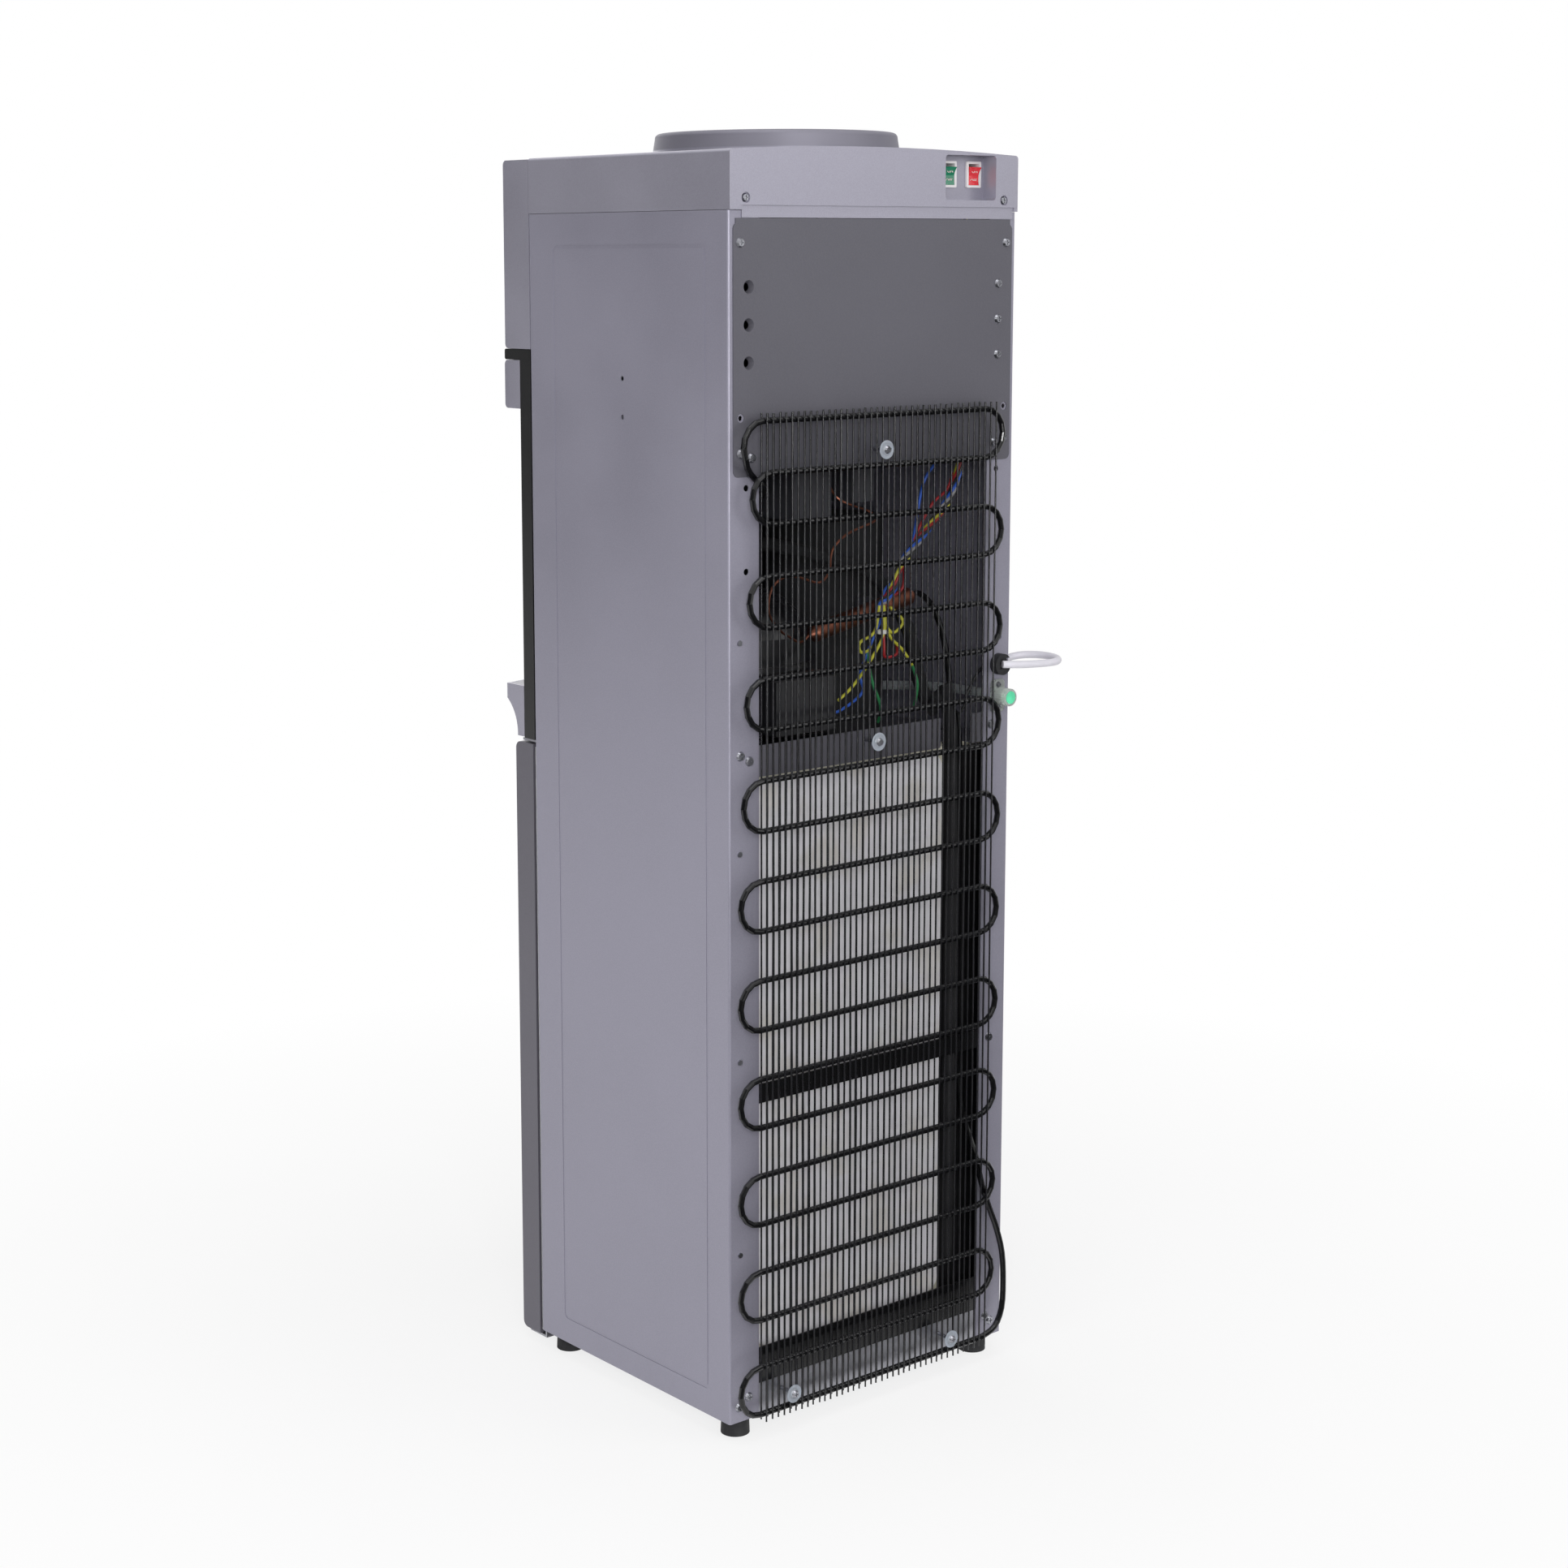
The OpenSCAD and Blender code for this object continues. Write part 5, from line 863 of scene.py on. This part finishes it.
class COOLER_OT_stage(bpy.types.Operator):
    """Sets up the pale floor, the soft light and the camera"""

    bl_idname = "cooler.stage"
    bl_label = "Stage"

    def execute(self, context):
        stage = context.scene.cooler_stage
        self.camera(context)
        self.floor(context)
        self.flags(context)
        self.room(context, stage)
        centre = Vector((0, 0, 0.55))
        self.lamp("camera_box", (2.15, 2.65, 1.55), centre, 1.3, 1.5, stage.key_power, "glossy")
        self.lamp("strip_box", (1.0, 2.9, 1.1), centre, 0.35, 2.0, stage.strip_power, "diffuse")
        self.lamp("rear_box", (-1.55, 2.15, 1.75), centre, 1.5, 1.9, stage.rear_power)
        self.lamp("side_box", (2.6, 0.75, 1.35), centre, 1.2, 1.9, stage.fill_power)
        self.lamp("top_box", (0.3, 0.5, 2.9), centre, 1.6, 1.6, stage.top_power)
        self.lamp("front_box", (-0.8, -2.6, 1.6), centre, 1.6, 1.8, stage.fill_power)
        context.scene.view_settings.view_transform = "Standard"
        return {"FINISHED"}

    def camera(self, context):
        """Camera at the photograph's place, found from the cabinet's corners."""
        data = bpy.data.cameras.new("photo_camera")
        data.sensor_width = 36
        data.lens = 62.53
        data.shift_x = 0.0622
        data.shift_y = -0.0728
        data.clip_end = 60
        camera = bpy.data.objects.new("photo_camera", data)
        context.scene.collection.objects.link(camera)
        azimuth, elevation, roll = (math.radians(a) for a in (141.12, 8.70, -0.227))
        back = Vector(
            (math.sin(azimuth) * math.cos(elevation), -math.cos(azimuth) * math.cos(elevation), math.sin(elevation))
        )
        right = back.cross(Vector((0, 0, -1))).normalized()
        up = back.cross(right)
        turn = Matrix((right, up, back)).transposed() @ Matrix.Rotation(roll, 3, "Z")
        camera.matrix_world = Matrix.Translation((1.4938, 1.75895, 0.9563)) @ turn.to_4x4()
        context.scene.camera = camera

    def floor(self, context):
        """Wide pale floor: it shows white with a part of the real shadow kept."""
        mesh = bmesh.new()
        bmesh.ops.create_circle(mesh, cap_ends=True, segments=64, radius=14)
        floor = finish_mesh(mesh, "studio_floor")
        context.scene.collection.objects.link(floor)
        material = bpy.data.materials.new("Paper matt white")
        material.use_nodes = True
        tree = material.node_tree
        tree.nodes.clear()
        where = add_node(tree, "ShaderNodeTexCoord").outputs["Object"]
        tone = tint(tree, patches(tree, where, 400), (0.86, 0.86, 0.86, 1), (0.9, 0.9, 0.9, 1))
        paper = add_node(tree, "ShaderNodeBsdfDiffuse", {"Color": tone}).outputs["BSDF"]
        glow = add_node(tree, "ShaderNodeEmission", {"Color": (1, 1, 1, 1), "Strength": 1.0}).outputs["Emission"]
        reach = add_node(tree, "ShaderNodeVectorMath", {0: where}, operation="LENGTH").outputs["Value"]
        white = add_node(
            tree, "ShaderNodeMapRange", {"Value": reach, "From Min": 0.3, "From Max": 1.2, "To Min": 0.76, "To Max": 1.0}
        ).outputs["Result"]
        share = add_node(tree, "ShaderNodeMath", {0: self.seen(tree), 1: white}, operation="MULTIPLY").outputs["Value"]
        mix = add_node(tree, "ShaderNodeMixShader", {0: share, 1: paper, 2: glow}).outputs["Shader"]
        add_node(tree, "ShaderNodeOutputMaterial", {"Surface": mix})
        floor.data.materials.append(material)

    def flags(self, context):
        """Black studio cards behind the camera and on the floor, so that gloss which faces them stays deep."""
        material, tree, shader, where = start_finish("Velvet black", {"Roughness": 1.0, "Sheen Weight": 0.1})
        nap = patches(tree, where, 90)
        tree.links.new(tint(tree, nap, (0.006, 0.006, 0.006, 1), (0.009, 0.009, 0.009, 1)), shader.inputs["Base Color"])
        for name, size, place, aim in (
            ("rear_flag", 2.6, Vector((3.1, 3.9, 1.2)), Vector((0, 0, 0.6))),
            ("side_flag", 2.4, Vector((3.4, -3.2, 1.2)), Vector((0, 0, 0.6))),
            ("right_flag", 2.4, Vector((4.7, 0.4, 1.2)), Vector((0, 0, 0.6))),
            ("far_flag", 2.4, Vector((-3.6, 3.4, 1.2)), Vector((0, 0, 0.6))),
            ("lying_flag", 2.7, Vector((0.6, 2.95, 0.004)), Vector((0.6, 2.95, 1.0))),
        ):
            mesh = bmesh.new()
            bmesh.ops.create_grid(mesh, x_segments=2, y_segments=2, size=size)
            card = finish_mesh(mesh, name)
            context.scene.collection.objects.link(card)
            card.matrix_world = Matrix.Translation(place) @ (aim - place).to_track_quat("Z", "Y").to_matrix().to_4x4()
            for ray in ("camera", "diffuse", "transmission", "shadow"):
                setattr(card, f"visible_{ray}", False)
            card.data.materials.append(material)

    def seen(self, tree):
        """1 for what the camera sees, straight or in gloss and glass, else 0."""
        path = add_node(tree, "ShaderNodeLightPath").outputs
        gloss = add_node(
            tree, "ShaderNodeMath", {0: path["Is Camera Ray"], 1: path["Is Glossy Ray"]}, operation="MAXIMUM"
        ).outputs["Value"]
        return add_node(
            tree, "ShaderNodeMath", {0: gloss, 1: path["Is Transmission Ray"]}, operation="MAXIMUM"
        ).outputs["Value"]

    def room(self, context, stage):
        """Even room light that shows as plain white behind the cooler."""
        world = bpy.data.worlds.new("studio_room")
        context.scene.world = world
        world.use_nodes = True
        tree = world.node_tree
        tree.nodes.clear()
        strength = span(tree, self.seen(tree), stage.ambient, 1.0)
        light = add_node(tree, "ShaderNodeBackground", {"Color": (1, 1, 1, 1), "Strength": strength})
        add_node(tree, "ShaderNodeOutputWorld", {"Surface": light.outputs["Background"]})

    def lamp(self, name, place, target, width, height, power, unseen=None):
        """Soft box that faces the cooler, and can be kept out of one kind of ray."""
        data = bpy.data.lights.new(name, "AREA")
        data.shape = "RECTANGLE"
        data.size = width
        data.size_y = height
        data.energy = power
        lamp = bpy.data.objects.new(name, data)
        bpy.context.scene.collection.objects.link(lamp)
        aim = (target - Vector(place)).to_track_quat("-Z", "Y").to_matrix().to_4x4()
        lamp.matrix_world = Matrix.Translation(place) @ aim
        if unseen:
            setattr(lamp, f"visible_{unseen}", False)


OPERATORS = (
    COOLER_OT_stage,
    COOLER_OT_mains_lead,
    COOLER_OT_condenser,
    COOLER_OT_bay_wiring,
    COOLER_OT_switches,
    COOLER_OT_drain,
    COOLER_OT_cabinet,
    COOLER_OT_mouldings,
    COOLER_OT_cold_cabinet,
    COOLER_OT_water_system,
    COOLER_OT_cooling_circuit,
)


class COOLER_PT_panel(bpy.types.Panel):
    """Lists the sizes, the colours and the steps of the cooler"""

    bl_idname = "COOLER_PT_panel"
    bl_label = "Water Cooler"
    bl_space_type = "VIEW_3D"
    bl_region_type = "UI"
    bl_category = "Water Cooler"

    def draw(self, context):
        for group in (context.scene.cooler_sizes, context.scene.cooler_colours, context.scene.cooler_stage):
            box = self.layout.box()
            for name in group.__annotations__:
                box.prop(group, name)
        for operator in OPERATORS:
            self.layout.operator(operator.bl_idname)


CLASSES = (CoolerSizes, CoolerColours, CoolerStage, *OPERATORS, COOLER_PT_panel)


def register():
    for item in CLASSES:
        bpy.utils.register_class(item)
    bpy.types.Scene.cooler_sizes = bpy.props.PointerProperty(type=CoolerSizes)
    bpy.types.Scene.cooler_colours = bpy.props.PointerProperty(type=CoolerColours)
    bpy.types.Scene.cooler_stage = bpy.props.PointerProperty(type=CoolerStage)


def unregister():
    del bpy.types.Scene.cooler_stage
    del bpy.types.Scene.cooler_colours
    del bpy.types.Scene.cooler_sizes
    for item in reversed(CLASSES):
        bpy.utils.unregister_class(item)


def main():
    register()
    bpy.ops.cooler.stage()
    bpy.ops.cooler.mains_lead()
    bpy.ops.cooler.condenser()
    bpy.ops.cooler.bay_wiring()
    bpy.ops.cooler.switches()
    bpy.ops.cooler.drain()
    bpy.ops.cooler.cabinet()
    bpy.ops.cooler.mouldings()
    bpy.ops.cooler.cold_cabinet()
    bpy.ops.cooler.water_system()
    bpy.ops.cooler.cooling_circuit()


if __name__ == "__main__":
    main()
